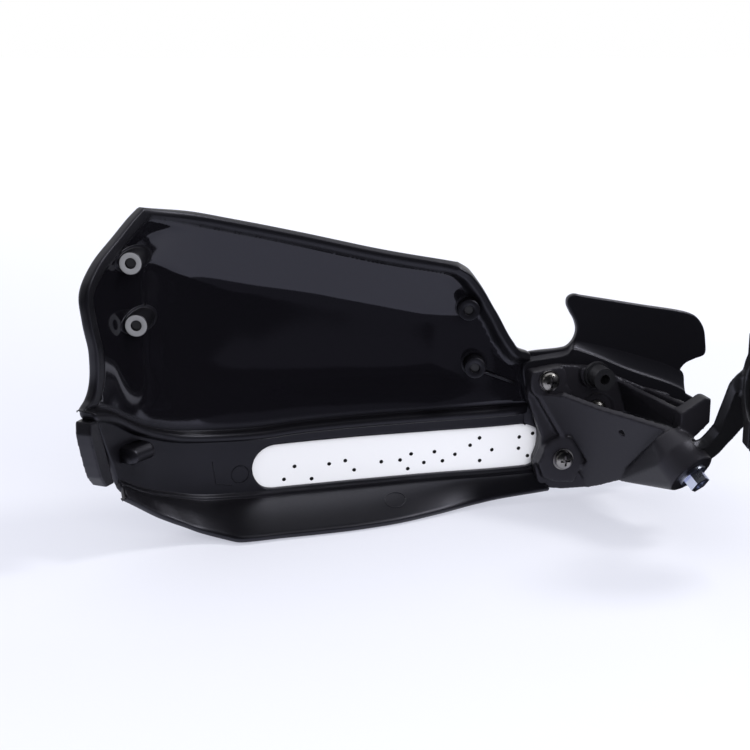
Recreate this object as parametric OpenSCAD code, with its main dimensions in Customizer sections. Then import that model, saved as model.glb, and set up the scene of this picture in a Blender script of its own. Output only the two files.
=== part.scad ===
// Motorcycle hand guard for the left grip, with its mounting arm and handlebar clamp.
// X runs along the handlebar towards the middle of the motorcycle, Y points forwards,
// away from the rider, and Z points up. The origin is the middle of the clamp's bore.
// Heights in the tables below are measured from the lowest edge of the shell.

/* [Shell] */
// Wall thickness of the moulded shell
wall = 3; // [2.4:0.1:3.6]
// How far the middle of the panel is hollowed behind its rim
panel_sag = 5; // [3:0.5:7]
// How far the top edge leans towards the rider
top_lean = 8; // [5:0.5:10]
// How far the long rib between panel and band stands out
ridge_out = 4.5; // [3:0.5:6]
// Thickness of the long rib
ridge_t = 2.6; // [2:0.1:3.2]
// How far the ledge at the foot of the band stands out
ledge_out = 2; // [1.4:0.1:2.6]
// Reach of the lower lip towards the rider at its widest
lip_reach = 32; // [26:1:36]
// Width of the bead round the edge
rim_w = 3.6; // [3:0.1:4.4]
// How far the bead stands above the panel
rim_h = 1.3; // [0.8:0.1:2]

/* [Bosses] */
// Outer diameter of the four panel bosses
boss_d = 9.4; // [8.6:0.1:10.4]
// Bore of the four panel bosses
boss_bore = 4.2; // [3.8:0.1:4.6]
// How far a boss end lies behind the plan line of the band
boss_reach = 5; // [4:0.5:7]

/* [Slot and strip] */
// Height of the long slot in the band
slot_h = 20.4; // [16:0.2:21]
// Distance between the end centres of the slot
slot_run = 110; // [90:1:112]
// How far the strip overlaps the slot all round
strip_lap = 3; // [2:0.2:3.6]
// Thickness of the pale strip
strip_t = 1.8; // [1.2:0.1:2.4]
// Diameter of the small blind holes in the strip
vent_d = 1.7; // [1.2:0.1:2.2]

/* [Front cover] */
// Thickness of the cover on the front of the panel
cover_t = 2.2; // [1.6:0.1:3]
// Gap between shell and the pieces on its front
seat_gap = 0.2; // [0.1:0.05:0.3]
// Gap between shell and the front cover
cover_gap = 0.9; // [0.8:0.1:1.2]
// Head diameter of the cover screws
head_d = 7.6; // [7:0.1:8.4]
// Head height of the cover screws
head_h = 2.8; // [2.2:0.1:3.2]
// Diameter of the cover screw shanks
shank_d = 4; // [3.6:0.1:4]

/* [Arm] */
// Thickness of the arm's base plate
plate_t = 4; // [3:0.5:6]
// Height of the screw pads above the base plate
pad_h = 4; // [3:0.5:6]
// Thickness of the arm's web
arm_wall = 3.2; // [2.8:0.2:5]
// Diameter of the screws that hold the arm to the shell
arm_screw_d = 5; // [4:0.5:5.5]
// Head diameter of the arm screws
arm_head_d = 8.4; // [7.8:0.2:9]
// Head height of the arm screws
arm_head_h = 3.2; // [2.6:0.2:3.8]
// Diameter of the washers under the arm screws
arm_washer_d = 9.6; // [9.2:0.2:11]
// Outer diameter of the rubber bush
bush_d = 10; // [9:0.5:11]
// Length of the rubber bush
bush_l = 10; // [8:0.5:12]

/* [Clamp] */
// Bore of the handlebar clamp
bar_d = 22.2; // [22.2:0.1:28.6]
// Width of the clamp along the handlebar
clamp_w = 20; // [16:1:26]
// Wall of the clamp round the handlebar
clamp_wall = 6; // [5:0.5:8]
// Height of the handlebar above the lowest edge of the shell
bar_h = 74; // [66:1:82]
// Diameter of the bolt that joins arm and clamp
bolt_d = 6; // [5:0.5:6.5]
// Flange diameter of that bolt
flange_d = 12.4; // [11.6:0.2:13.2]
// Size across the flats of that bolt's head
bolt_af = 8; // [8:0.5:9]

/* [Hidden] */
$fn = 48;
eps = 0.01;

// Plan line of the band, seen from above, from the outer end to the wing
PLAN = [[-282, -36], [-272, -8], [-267, 6], [-260, 20], [-250, 36], [-232, 54],
    [-207, 65], [-170, 75], [-130, 82], [-100, 87], [-44, 102], [12, 117]];
// The tables below give a value at a distance along that line
TOP_H = [[-10, 152], [20, 147.5], [45, 142.6], [76, 136], [120, 125.6], [155, 117],
    [187, 110.6], [250, 98.2], [330, 81]];
RIDGE_H = [[-10, 68], [6, 66.5], [18, 64], [27, 60.5], [38, 54], [50, 48.4], [64, 43.4],
    [80, 40.6], [102, 39.4], [121, 40.4], [166, 42], [221, 43.5], [330, 46]];
FOLD_H = [[-10, 33], [20, 32.5], [30, 30.5], [42, 24], [56, 18.3], [75, 12.1],
    [93, 10.2], [121, 9.8], [148, 10.3], [175, 11.5], [227, 12.6], [330, 14]];
LIP_H = [[-10, 32.5], [20, 31], [27, 26], [42, 15.5], [52, 10.5], [61, 6], [72, 3.4],
    [90, 3], [180, 2.6], [200, 3], [210, 4.2], [227, 6], [330, 12]];
LIP_D = [[-10, 2.6], [20, 3], [27, 7], [42, 11.5], [52, 16], [61, 20], [71, 26],
    [82, 31], [104, 32], [122, 31.8], [142, 30], [161, 26], [181, 18.5], [201, 11],
    [227, 10], [330, 10]];
// Left edge of the shell, along the plan line, from the top corner down to the lip
LEFT_S = [[0, 47], [0.06, 40], [0.17, 29], [0.3, 16], [0.43, 7], [0.57, 8], [0.74, 12.5],
    [0.9, 15], [0.96, 13], [1, 8]];
BAND_S = 18;
FOOT_S = 29;
LIP_S = 22;
// Right edge of the swept sheet: down the slope to the notch, then inside the wing
RIGHT_S = [[0, 190], [0.025, 194.4], [0.05, 196.8], [0.276, 207.5], [0.506, 216],
    [0.565, 219.4], [0.592, 224], [0.64, 225], [1, 225]];
LIP_END_S = 227;
// Outline of the flat wing, in its own plane: distance along it, and height
NOTCH_FOOT = [[9, 8], [9, 66.6], [12.4, 68.6]];
SCALLOP = [[28.4, 69.2], [31.6, 69.9], [34.4, 72.6], [35.8, 76.8], [34.8, 81.4],
    [32.4, 85.6], [30.8, 89.2], [31.2, 92.2], [34, 93.7]];
WING_END = [[38, 92.9], [65, 87.4], [91.4, 81.7], [95.2, 79.4], [98.6, 74.6], [100, 68],
    [100, 61.8], [95, 59.9], [90.4, 58], [87.9, 55], [87.3, 51], [88.6, 47.2], [91.4, 43.8],
    [95, 41.6], [99, 39]];
WING_FOOT = [[99, 33], [92, 26], [74, 18], [56, 8]];
// Boss centres of the cover: place along the handlebar, and height
BOSSES = [[-252, 121.8], [-251.6, 95.6], [-115, 90.4], [-112, 64.6]];
// Outer end of the slot's centre line, and its rise over the slot's length
SLOT_AT = [-199.5, 21.6];
SLOT_RISE = 1.5;
// Small holes of the strip: place along the handlebar, and height
VENTS = [[-196.5, 16.6], [-192.2, 22.4], [-185.4, 16.2], [-178.2, 22.8], [-171.6, 24],
    [-168, 19.5], [-156.8, 23], [-149, 23.6], [-145.8, 19.4], [-144.4, 26.4], [-139, 22.2],
    [-134.6, 27.2], [-131.2, 22.8], [-126, 25.8], [-119.6, 30], [-115.6, 33.4], [-115.4, 22.6],
    [-110.2, 27.6], [-98.6, 27.8], [-98.4, 33.2], [-94.6, 24], [-92.6, 34.6], [-92, 24.6]];
// Top edge of the front cover along the plan line
COVER_TOP = [[30, 112], [44, 129], [60, 130], [120, 117], [184, 103.5], [196, 92], [208, 74]];
COVER_S0 = 33;
COVER_S1 = 207;
COVER_FOOT = 7;
// Saddle that carries the arm, in the wing's plane: upper edge, how far its slope spreads, foot
SADDLE_TOP = [[8, 65], [28, 66.4], [31.2, 67.4], [33, 70], [46, 64.8], [60, 58.2], [81.5, 50.2],
    [90, 46]];
SADDLE_SLOPE = [[0, 1], [0.2, 1.8], [0.6, 1.8], [2.6, 3], [0, 3.6], [0, 3.6], [0, 3.6], [0, 3.6]];
SADDLE_FOOT = [[90, 40], [62, 20], [54, 6], [21, 7], [18, 10], [16, 18], [18.6, 24.4],
    [18.8, 31], [15.6, 38.5], [12, 46]];
saddle_out = 4;
// Arm outlines in the wing's plane
SCREW_U = [18.5, 57.7];
SCREW_L = [26.3, 20.7];
SCREW_I = [44, 41];
ARM_SCREWS = [SCREW_U, SCREW_L, SCREW_I];
BUSH = [41, 59.2];
PLATE = [[10.8, 61.9], [10.2, 58.1], [10.5, 48.8], [14.6, 38.3], [17.7, 30.5], [17.4, 24.4],
    [14.3, 18], [16.4, 9.2], [19.9, 6], [29.2, 4.7], [41, 4.4], [58, 16], [76, 24], [80, 46],
    [67.3, 49.9], [52.1, 56.8], [39.8, 61.8], [24, 63.6]];
PAD_U = [[14.2, 49.4], [25.3, 30.6], [30, 34], [30, 52], [24, 60], [16, 62]];
PAD_L = [[25.3, 29.9], [15.9, 22.9], [14.9, 19.2], [17.5, 12.4], [23.6, 9.9], [32, 9],
    [34.6, 14.2], [38.3, 18.2], [30.1, 31.2]];
WEB = [[14.5, 51.4], [25.6, 30.1], [28.1, 32.7], [36.1, 20], [35.1, 13.7], [40.2, 4.4],
    [43.2, 7.2], [47.9, 12.8], [52.2, 19.4], [55.6, 17.3], [59.3, 42.4], [54, 45.7],
    [44, 47.8], [32.7, 49.7], [19.9, 53.4]];
WEB_N = [-0.723, 0.537, -0.434];
STRAP = [[59.4, 42], [59.6, 53], [70.3, 59.2], [73, 58.8], [73, 48], [64, 40]];
strap_out = 60;
// Bolt that joins arm and clamp: its seat in the wing's plane, and the way it points
BOLT_AT = [60.8, 69.5, 29.3];
bolt_tilt = 126.2;
bolt_turn = -65.6;
// The arm's end is a fork: front ear, gap for the clamp's link, rear ear with the nut inside
ear_t = 5;
link_t = 5;
link_gap = 0.2;
rear_t = 9;
knuckle_r = 10.5;
rear_r = 7.8;
lug_r = 8.5;
// End of the band: cap, its tongue on the front of the shell, and the rib its screw bites in
CAP_S = [5, 13];
CAP_H = [33.6, 63];
cap_slant = 9.5;
cap_t = 7;
cap_round = 2.4;
RIB_S = [31, 45];
rib_h = 42.3;
tongue_low = 6.3;
tongue_high = 6.7;
TONGUE_S = [9, 48];
TONGUE_H = [rib_h - tongue_low, rib_h + tongue_high];
tongue_t = 2.4;
rib_reach = 4.5;
rib_d = 7;
cap_screw_d = 3;
cap_screw_head = 6;

WING_TURN = 15;
// How far the wing's faces stand proud of the sheet that runs into them
wing_proud = 0.3;

// Smooth curve through the points of a table
function cell(t, x, i = 0) = (i > len(t) - 3 || x < t[i + 1][0]) ? i : cell(t, x, i + 1);
function rise(t, i) = (t[i + 1][1] - t[i][1]) / (t[i + 1][0] - t[i][0]);
function tilt(t, i) = i == 0 ? rise(t, 0) : i == len(t) - 1 ? rise(t, i - 1)
    : (rise(t, i - 1) + rise(t, i)) / 2;
function blend3(a, b, m, n, u) = a + u * (m + u * (3 * (b - a) - 2 * m - n
    + u * (2 * (a - b) + m + n)));
function curve(t, x) = let (i = cell(t, x), w = t[i + 1][0] - t[i][0], u = (x - t[i][0]) / w)
    blend3(t[i][1], t[i + 1][1], tilt(t, i) * w, tilt(t, i + 1) * w, u);

// Plan line by its own length, starting at its second point
function run(i) = i == 0 ? 0 : run(i - 1) + norm(PLAN[i] - PLAN[i - 1]);
PLAN_X = [for (i = [0 : len(PLAN) - 1]) [run(i) - run(1), PLAN[i].x]];
PLAN_Y = [for (i = [0 : len(PLAN) - 1]) [run(i) - run(1), PLAN[i].y]];
function plan_point(s) = [curve(PLAN_X, s), curve(PLAN_Y, s)];
function plan_dir(s) = let (v = plan_point(s + 0.5) - plan_point(s - 0.5)) v / norm(v);
// A point of the shell: along the plan line, towards the rider, and up
function at(s, d, h) = let (p = plan_point(s), v = plan_dir(s)) [p.x + d * v.y, p.y - d * v.x, h];

// Share of the panel's shape that is left towards the wing
function smooth(u) = u <= 0 ? 0 : u >= 1 ? 1 : u * u * (3 - 2 * u);
function panel_share(s) = 1 - smooth((s - 180) / 36);
lean_part = 0.3;
turn_in = 36;
end_lift = 4;
function lean(f) = f < lean_part ? pow(1 - f / lean_part, 2) : 0;
hollow_bend = 1.35;
function hollow(f) = f < lean_part ? 1 - pow(1 - f / lean_part, 2)
    : cos(90 * pow((f - lean_part) / (1 - lean_part), hollow_bend));
function end_share(s, f) = smooth((s - curve(LEFT_S, f)) / turn_in);
function panel_d(s, f) = let (p = panel_share(s), e = end_share(s, f))
    p * e * (top_lean * lean(f) - panel_sag * hollow(f)) + (1 - p)
    + (1 - e) * end_lift * smooth(3 * (1 - f));

// Rows of the section from the top edge to the lip
RIM_STEPS = [[0, 0.4], [0.6, 1], [rim_w - 0.6, 1], [rim_w + 0.2, 0]];
PANEL_F = [0.08, 0.13, 0.19, 0.26, 0.35, 0.44, 0.52, 0.565, 0.595, 0.65, 0.73, 0.82, 0.92];
RIDGE_ROWS = [[1.4, 0.1], [0.5, 0.8], [0, 0.97], [-0.3, 1]];
BAND_F = [0.3, 0.65];
LEDGE_ROWS = [[1.5, 0.05], [0.6, 0.9]];
LIP_F = [0, 0.1, 0.22, 0.36, 0.52, 0.68, 0.84, 1];
function ridge_rows() = concat(RIDGE_ROWS, [for (i = [3 : -1 : 0])
    [-ridge_t - RIDGE_ROWS[i][0] * 0.7, RIDGE_ROWS[i][1]]]);
function lip_drop(g) = 0.35 * g + 0.65 * g * g * (1.6 - 0.6 * g);
function lip_row(s, g) = [ledge_out + (lip_reach / 32 * curve(LIP_D, s) - ledge_out) * g,
    curve(FOLD_H, s) - 0.4 - (curve(FOLD_H, s) - 0.4 - curve(LIP_H, s)) * lip_drop(g)];
// The long rib fades out where the arm's saddle begins
function ridge_reach(s) = ridge_out * (1 - smooth((s - 218) / 7));
// Each row is [kind, value]; the rider's side carries the ribs and the front does not
ROWS = concat([for (r = RIM_STEPS) ["rim", r]], [for (f = PANEL_F) ["panel", f]],
    [for (r = ridge_rows()) ["ridge", r]], [for (f = BAND_F) ["band", f]],
    [for (r = LEDGE_ROWS) ["ledge", r]], [for (f = LIP_F) ["lip", f]]);
function panel_top(s) = curve(TOP_H, s);
function panel_foot(s) = curve(RIDGE_H, s) + 1.6;
function row_f(s, r) = r[0] == "rim" ? r[1][0] / (panel_top(s) - panel_foot(s))
    : r[0] == "panel" ? r[1] : 1;
function row_at(s, r, ribs) =
    r[0] == "rim" || r[0] == "panel" ? let (f = row_f(s, r))
        [panel_d(s, f), panel_top(s) + (panel_foot(s) - panel_top(s)) * f]
    : r[0] == "ridge" ? [ribs ? ridge_reach(s) * r[1][1] : 0, curve(RIDGE_H, s) + r[1][0]]
    : r[0] == "band" ? let (t = curve(RIDGE_H, s) - ridge_t - 1, b = curve(FOLD_H, s) + 1.5)
        [0, t + (b - t) * r[1]]
    : r[0] == "ledge" ? [ribs ? ledge_out * r[1][1] : 0.5 * ledge_out * r[1][1],
        curve(FOLD_H, s) + r[1][0]]
    : ribs || r[1] > 0.15 ? lip_row(s, r[1])
    : [ledge_out * (0.6 + 4 * r[1]), lip_row(s, 0.2 + r[1])[1] + 0.2];
// Height of the panel at its left and right edge, for the rows of the bead
LEFT_DROP = 84;
RIGHT_DROP = 64;
function row_left(r) = r[0] == "rim" ? curve(LEFT_S, r[1][0] / LEFT_DROP)
    : r[0] == "panel" ? curve(LEFT_S, r[1])
    : r[0] == "ridge"
        ? BAND_S + (LEFT_S[len(LEFT_S) - 1][1] - BAND_S) * max(0, (r[1][0] + 1.5) / 3)
    : r[0] == "band" ? BAND_S + (FOOT_S - BAND_S) * r[1]
    : r[0] == "ledge" ? FOOT_S
    : FOOT_S + (LIP_S - FOOT_S) * r[1];
function row_right(r) = r[0] == "rim" ? curve(RIGHT_S, r[1][0] / RIGHT_DROP)
    : r[0] == "panel" ? curve(RIGHT_S, r[1])
    : r[0] == "lip" ? LIP_END_S : RIGHT_S[len(RIGHT_S) - 1][1];

// Columns: those of the bead at both ends, and closer together where the plan line bends
STEPS = 26;
COLUMN_PULL = 0.2;
function spread(u) = u + COLUMN_PULL * u * (u - 1) * (1.2 - u);
EDGE_COLS = [for (r = RIM_STEPS) r[0]];
// Length of the slanted edge for each unit across it
function slant(table, f) = min(2,
    norm([1, (curve(table, f + 0.02) - curve(table, f - 0.02)) / 3.2]));
function slant_at(table, r) = r[0] == "rim" ? slant(table, 0.02 + r[1][0] / LEFT_DROP)
    : r[0] == "panel" ? slant(table, min(0.98, r[1])) : 1;
COLUMNS = concat([for (i = [0 : 3]) [0, i]], [for (i = [1 : STEPS - 1]) [1, i / STEPS]],
    [for (i = [3 : -1 : 0]) [2, i]]);
function col_s(c, r) = let (a = row_left(r), b = row_right(r),
    a1 = a + EDGE_COLS[3] * slant_at(LEFT_S, r), b1 = b - EDGE_COLS[3] * slant_at(RIGHT_S, r))
    c[0] == 0 ? a + EDGE_COLS[c[1]] * slant_at(LEFT_S, r)
    : c[0] == 2 ? b - EDGE_COLS[c[1]] * slant_at(RIGHT_S, r)
    : a1 + (b1 - a1) * spread(c[1]);
// Height of the bead at a column and row, down to the notch on the right
NOTCH_F = 0.58;
slope_high = 3.4;
function slope_rise(s) = slope_high * smooth((s - 182) / 14) * (1 - smooth((s - 216) / 10));
function bead(c, r) = let (s = col_s(c, r),
    edge = r[0] == "rim" ? r[1][1] : 0,
    panel = r[0] == "panel",
    left = c[0] == 0 && (r[0] == "rim" || panel) ? RIM_STEPS[c[1]][1] : 0,
    right = c[0] == 2 && (r[0] == "rim" || panel && r[1] < NOTCH_F) ? RIM_STEPS[c[1]][1] : 0)
    max(edge * (rim_h + slope_rise(s)), left * rim_h, right * (rim_h + slope_rise(s)));
// Depth of the outer surface behind the inner one, along the section's own normal
function section_normal(s, j) = let (a = row_at(s, ROWS[max(0, j - 1)], false),
    b = row_at(s, ROWS[min(len(ROWS) - 1, j + 1)], false), t = (b - a) / norm(b - a)) [t[1], -t[0]];
function skin_point(s, j, depth) = let (q = row_at(s, ROWS[j], false), n = section_normal(s, j))
    at(s, q[0] + depth * n[0], q[1] + depth * n[1]);
function rib_point(c, j) = let (s = col_s(c, ROWS[j]), q = row_at(s, ROWS[j], true))
    at(s, q[0] + bead(c, ROWS[j]), q[1]);

// Closed solid between two grids of points with the same rows and columns
module between(front, back) {
    m = len(front);
    n = len(front[0]);
    k = m * n;
    points = concat([for (r = front) each r], [for (r = back) each r]);
    faces = concat(
        [for (i = [0 : m - 2]) for (j = [0 : n - 2]) let (a = i * n + j, b = a + 1, c = a + n, d = c + 1)
            each [[a, d, b], [a, c, d], [k + a, k + b, k + d], [k + a, k + d, k + c]]],
        [for (i = [0 : m - 2]) let (a = i * n, b = a + n, c = a + n - 1, d = b + n - 1)
            each [[a, k + b, b], [a, k + a, k + b], [c, d, k + d], [c, k + d, k + c]]],
        [for (j = [0 : n - 2]) let (a = j, b = j + 1, c = (m - 1) * n + j, d = c + 1)
            each [[a, b, k + b], [a, k + b, k + a], [c, k + d, d], [c, k + c, k + d]]]);
    polyhedron(points, faces);
}

// Tube with a given loop of points at each station
module loft(loops) {
    m = len(loops);
    n = len(loops[0]);
    points = [for (r = loops) each r];
    faces = concat(
        [for (i = [0 : m - 2]) for (j = [0 : n - 1])
            let (a = i * n + j, b = i * n + (j + 1) % n, c = a + n, d = b + n)
            each [[a, b, d], [a, d, c]]],
        [for (j = [1 : n - 2]) each [[0, j + 1, j],
            [(m - 1) * n, (m - 1) * n + j, (m - 1) * n + j + 1]]]);
    polyhedron(points, faces);
}

module place() { translate([0, 0, -bar_h]) children(); }
// The wing's own plane, from its left end: X along it, Y forwards through it
module wing_frame() { translate([-100, 87, 0]) rotate([0, 0, WING_TURN]) children(); }
module wing_extrude(d0, d1, outline) {
    wing_frame() translate([0, -d0, 0]) rotate([90, 0, 0]) linear_extrude(d1 - d0) polygon(outline);
}

module shell_sheet() {
    between([for (c = COLUMNS) [for (j = [0 : len(ROWS) - 1]) rib_point(c, j)]],
        [for (c = COLUMNS) [for (j = [0 : len(ROWS) - 1]) skin_point(col_s(c, ROWS[j]), j, wall)]]);
}
module wing() {
    wing_extrude(1 - wall - wing_proud, 1 + wing_proud,
        concat(NOTCH_FOOT, SCALLOP, WING_END, WING_FOOT));
}

// Place along the plan line of a point given along the handlebar
S_OF_X = [for (i = [0 : len(PLAN) - 1]) [PLAN[i].x, run(i) - run(1)]];
function s_of_x(x) = curve(S_OF_X, x);
// Inner surface of the panel at a height, pushed forwards by a depth
function panel_f(s, h) = (curve(TOP_H, s) - h) / (curve(TOP_H, s) - curve(RIDGE_H, s) - 1.6);
function base_d(s, h) = let (f = panel_f(s, h)) f >= 1 ? 0 : panel_d(s, max(0, f));
function panel_point(s, h, depth) = let (t = [base_d(s, h - 1) - base_d(s, h + 1), -2],
    n = [t[1], -t[0]] / norm(t))
    at(s, base_d(s, h) + depth * n[0], h + depth * n[1]);
function panel_y(x, h, depth, lo = -10, hi = 300, k = 18) = let (m = (lo + hi) / 2)
    k == 0 ? panel_point(m, h, depth).y
    : panel_point(m, h, depth).x < x ? panel_y(x, h, depth, m, hi, k - 1)
    : panel_y(x, h, depth, lo, m, k - 1);
function boss_end(b) = panel_y(b.x, b.y, 0)
    - (boss_reach + panel_sag) / max(0.5, abs(plan_dir(s_of_x(b.x)).x));

module slot_outline(grow) {
    translate(SLOT_AT) rotate(SLOT_RISE) {
        for (x = [0, slot_run]) translate([x, 0]) circle(slot_h / 2 + grow);
        translate([0, -slot_h / 2 - grow]) square([slot_run, slot_h + 2 * grow]);
    }
}
module along_y(y0, y1) {
    translate([0, y1, 0]) rotate([90, 0, 0]) linear_extrude(y1 - y0) children();
}
module y_rod(b, y0, y1, d) {
    translate([b.x, y1, b.y]) rotate([90, 0, 0]) cylinder(d = d, h = y1 - y0);
}

// Boss of the cover: flat end towards the rider, foot inside the wall
BOSS_SIDES = 28;
module boss(b) {
    rim = [for (i = [0 : BOSS_SIDES - 1]) let (a = 360 * i / BOSS_SIDES)
        b + boss_d / 2 * [cos(a), sin(a)]];
    loft([[for (q = rim) [q.x, boss_end(b), q.y]],
        [for (q = rim) [q.x, panel_y(q.x, q.y, wall / 2), q.y]]]);
}

module saddle() {
    base = concat(SADDLE_TOP + SADDLE_SLOPE, SADDLE_FOOT);
    top = concat(SADDLE_TOP, SADDLE_FOOT);
    wing_frame() loft([[for (p = base) [p.x, wall * 0.5, p.y]],
        [for (p = top) [p.x, -saddle_out, p.y]]]);
}

module peg_rod(p, q, d) {
    v = q - p;
    translate(p) rotate([0, acos(v.z / norm(v)), atan2(v.y, v.x)]) cylinder(d = d, h = norm(v));
}
RIB_MID = (RIB_S[0] + RIB_S[1]) / 2;
module end_rib() {
    n = 6;
    function loop(q) = [for (k = [8 : -1 : 0]) let (a = 180 * k / 8)
        at(q, rib_reach + rib_d / 2 * sin(a), rib_h + rib_d / 2 * cos(a))];
    loft([for (i = [0 : n]) let (q = RIB_S[0] + (RIB_S[1] - RIB_S[0]) * i / n)
        concat([at(q, -1, rib_h + rib_d / 2), at(q, -1, rib_h - rib_d / 2)], loop(q))]);
}
// Straight rod across the band, from one depth to another
module band_rod(d0, d1, d) {
    peg_rod(at(RIB_MID, d0, rib_h), at(RIB_MID, d1, rib_h), d);
}
// Thin rib from the lowest boss to the saddle
rib_out = 3;
RIB_TO_SADDLE = [[-12, 62.6], [6, 55]];
module rib_to_saddle() {
    wing_frame() loft([for (q = RIB_TO_SADDLE) let (x = q.x, h = q.y)
        [[x, 1.8, h - 0.8], [x, -rib_out, h - 0.6], [x, -rib_out, h + 0.6], [x, 1.8, h + 0.8]]]);
}

module guard_shell() color([0.07, 0.07, 0.08]) place() {
    difference() {
        union() {
            union() {
                wing();
                saddle();
                rib_to_saddle();
                end_rib();
                for (b = BOSSES) boss(b);
            }
            shell_sheet();
        }
        along_y(40, 130) slot_outline(0);
        for (b = BOSSES) y_rod(b, boss_end(b) - 1, boss_end(b) + 60, boss_bore);
        band_rod(-wall - 2, rib_reach + 1.5, cap_screw_d);
        wing_frame() for (c = ARM_SCREWS) translate([c.x, wall + 2, c.y]) rotate([90, 0, 0])
            cylinder(d = insert_d, h = wall + saddle_out + 3);
    }
}

// Pale strip in front of the slot, with its small holes
strip_r = slot_h / 2 + strip_lap;
STRIP_COLS = concat([for (i = [1 : 7]) [-strip_r * cos(90 * i / 8), strip_r * sin(90 * i / 8)]],
    [for (i = [0 : 16]) [slot_run * i / 16, strip_r]],
    [for (i = [7 : -1 : 1]) [slot_run + strip_r * cos(90 * i / 8), strip_r * sin(90 * i / 8)]]);
// The holes end in a thin floor
vent_floor = 0.5;
vent_start = 40;
function vent_end(v) = at(s_of_x(v.x), vent_floor - wall - seat_gap - strip_t, v.y).y;
module strip_body() {
    function face(c, d) = let (s = s_of_x(SLOT_AT.x + c[0] * cos(SLOT_RISE)),
        h = SLOT_AT.y + c[0] * sin(SLOT_RISE)) [for (j = [2 : -1 : -2]) at(s, d, h + c[1] * j / 2)];
    back = -wall - seat_gap;
    between([for (c = STRIP_COLS) face(c, back)], [for (c = STRIP_COLS) face(c, back - strip_t)]);
}
module accent_strip() color([0.94, 0.94, 0.97]) place() difference() {
    strip_body();
    for (v = VENTS) y_rod(v, vent_start, vent_end(v), vent_d);
}

// Cover on the front of the panel, with a flat seat for each screw
function cover_face(depth) = [for (i = [0 : 34]) let (s = COVER_S0 + (COVER_S1 - COVER_S0) * i / 34,
    t = curve(COVER_TOP, s), b = curve(RIDGE_H, s) + COVER_FOOT)
    [for (j = [0 : 8]) panel_point(s, t + (b - t) * j / 8, depth)]];
cover_back = wall + cover_gap;
cover_front = cover_back + cover_t;
pad_rise = 0.15;
pad_run = 45;
front_run = 60;
function pad_y(b) = pad_rise + max(panel_y(b.x - boss_d / 2, b.y, cover_front),
    panel_y(b.x + boss_d / 2, b.y, cover_front));
module front_side(f) {
    front = [for (i = [0 : f[4]]) [for (j = [0 : 5]) panel_point(f[0] + (f[1] - f[0]) * i / f[4],
        f[3] + (f[2] - f[3]) * j / 5, cover_back + cover_t / 2)]];
    between(front, [for (c = front) [for (p = c) p + [0, front_run, 0]]]);
}
BOSS_FIELDS = [[24, 72, 84, 136, 12], [176, 216, 54, 104, 8]];
module front_cover() color([0.09, 0.09, 0.1]) place() difference() {
    union() {
        between(cover_face(cover_back), cover_face(cover_front));
        intersection() {
            for (b = BOSSES) y_rod(b, pad_y(b) - pad_run, pad_y(b), boss_d);
            for (f = BOSS_FIELDS) front_side(f);
        }
    }
    for (b = BOSSES) y_rod(b, 0, 160, shank_d + 0.4);
}

// Screws and washers: head at the origin, shank down
module cross_slot(r, h) {
    for (a = [0, 90]) rotate(a) translate([-r, -r / 5, h]) cube([2 * r, r * 0.4, r]);
}
module pan_screw(dh, hh, ds, l) {
    difference() {
        union() {
            rotate_extrude() polygon(concat([[0, 0], [dh / 2, 0], [dh / 2, hh * 0.3]],
                [for (a = [10 : 16 : 90]) [dh / 2 * cos(a), hh * (0.3 + 0.7 * sin(a))]]));
            translate([0, 0, -l]) cylinder(d = ds, h = l + eps);
        }
        cross_slot(dh * 0.28, hh * 0.45);
    }
}
cover_screw_tip = 2;
module cover_screw(b) color([0.2, 0.2, 0.22]) place()
    translate([b.x, pad_y(b), b.y]) rotate([-90, 0, 0])
        pan_screw(head_d, head_h, shank_d, pad_y(b) - boss_end(b) - cover_screw_tip);

// Cap on the outer end of the band, with a tongue on the front of the shell
function cap_face(d) = [for (i = [0 : 5]) [for (j = [0 : 6])
    let (h = CAP_H[1] + (CAP_H[0] - CAP_H[1]) * j / 6, bend = cap_round * pow(abs(j - 3) / 3, 6),
        left = CAP_S[0] + cap_slant * j / 6 + bend * (1 - i / 5))
    at(left + (CAP_S[1] - CAP_S[0]) * i / 5, d, h)]];
tongue_d = -wall - seat_gap;
function tongue_face(d) = [for (i = [0 : 10]) [for (j = [0 : 2])
    let (h = TONGUE_H[1] + (TONGUE_H[0] - TONGUE_H[1]) * j / 2,
        left = TONGUE_S[0] + cap_slant * (CAP_H[1] - h) / (CAP_H[1] - CAP_H[0]))
    at(left + (TONGUE_S[1] - left) * i / 10, d, h)]];
module end_cap() color([0.08, 0.08, 0.09]) place() difference() {
    union() {
        between(cap_face(cap_t / 2), cap_face(-cap_t / 2));
        between(tongue_face(tongue_d), tongue_face(tongue_d - tongue_t));
    }
    band_rod(-30, 10, cap_screw_d + 0.4);
}
module end_cap_screw() color([0.3, 0.3, 0.32]) place()
    let (q = at(RIB_MID, tongue_d - tongue_t, rib_h), v = plan_dir(RIB_MID)) translate(q)
        rotate([0, 0, atan2(v.y, v.x)]) rotate([-90, 0, 0])
            pan_screw(cap_screw_head, 2.2, cap_screw_d, rib_reach + 1 - tongue_d + tongue_t);

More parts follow.
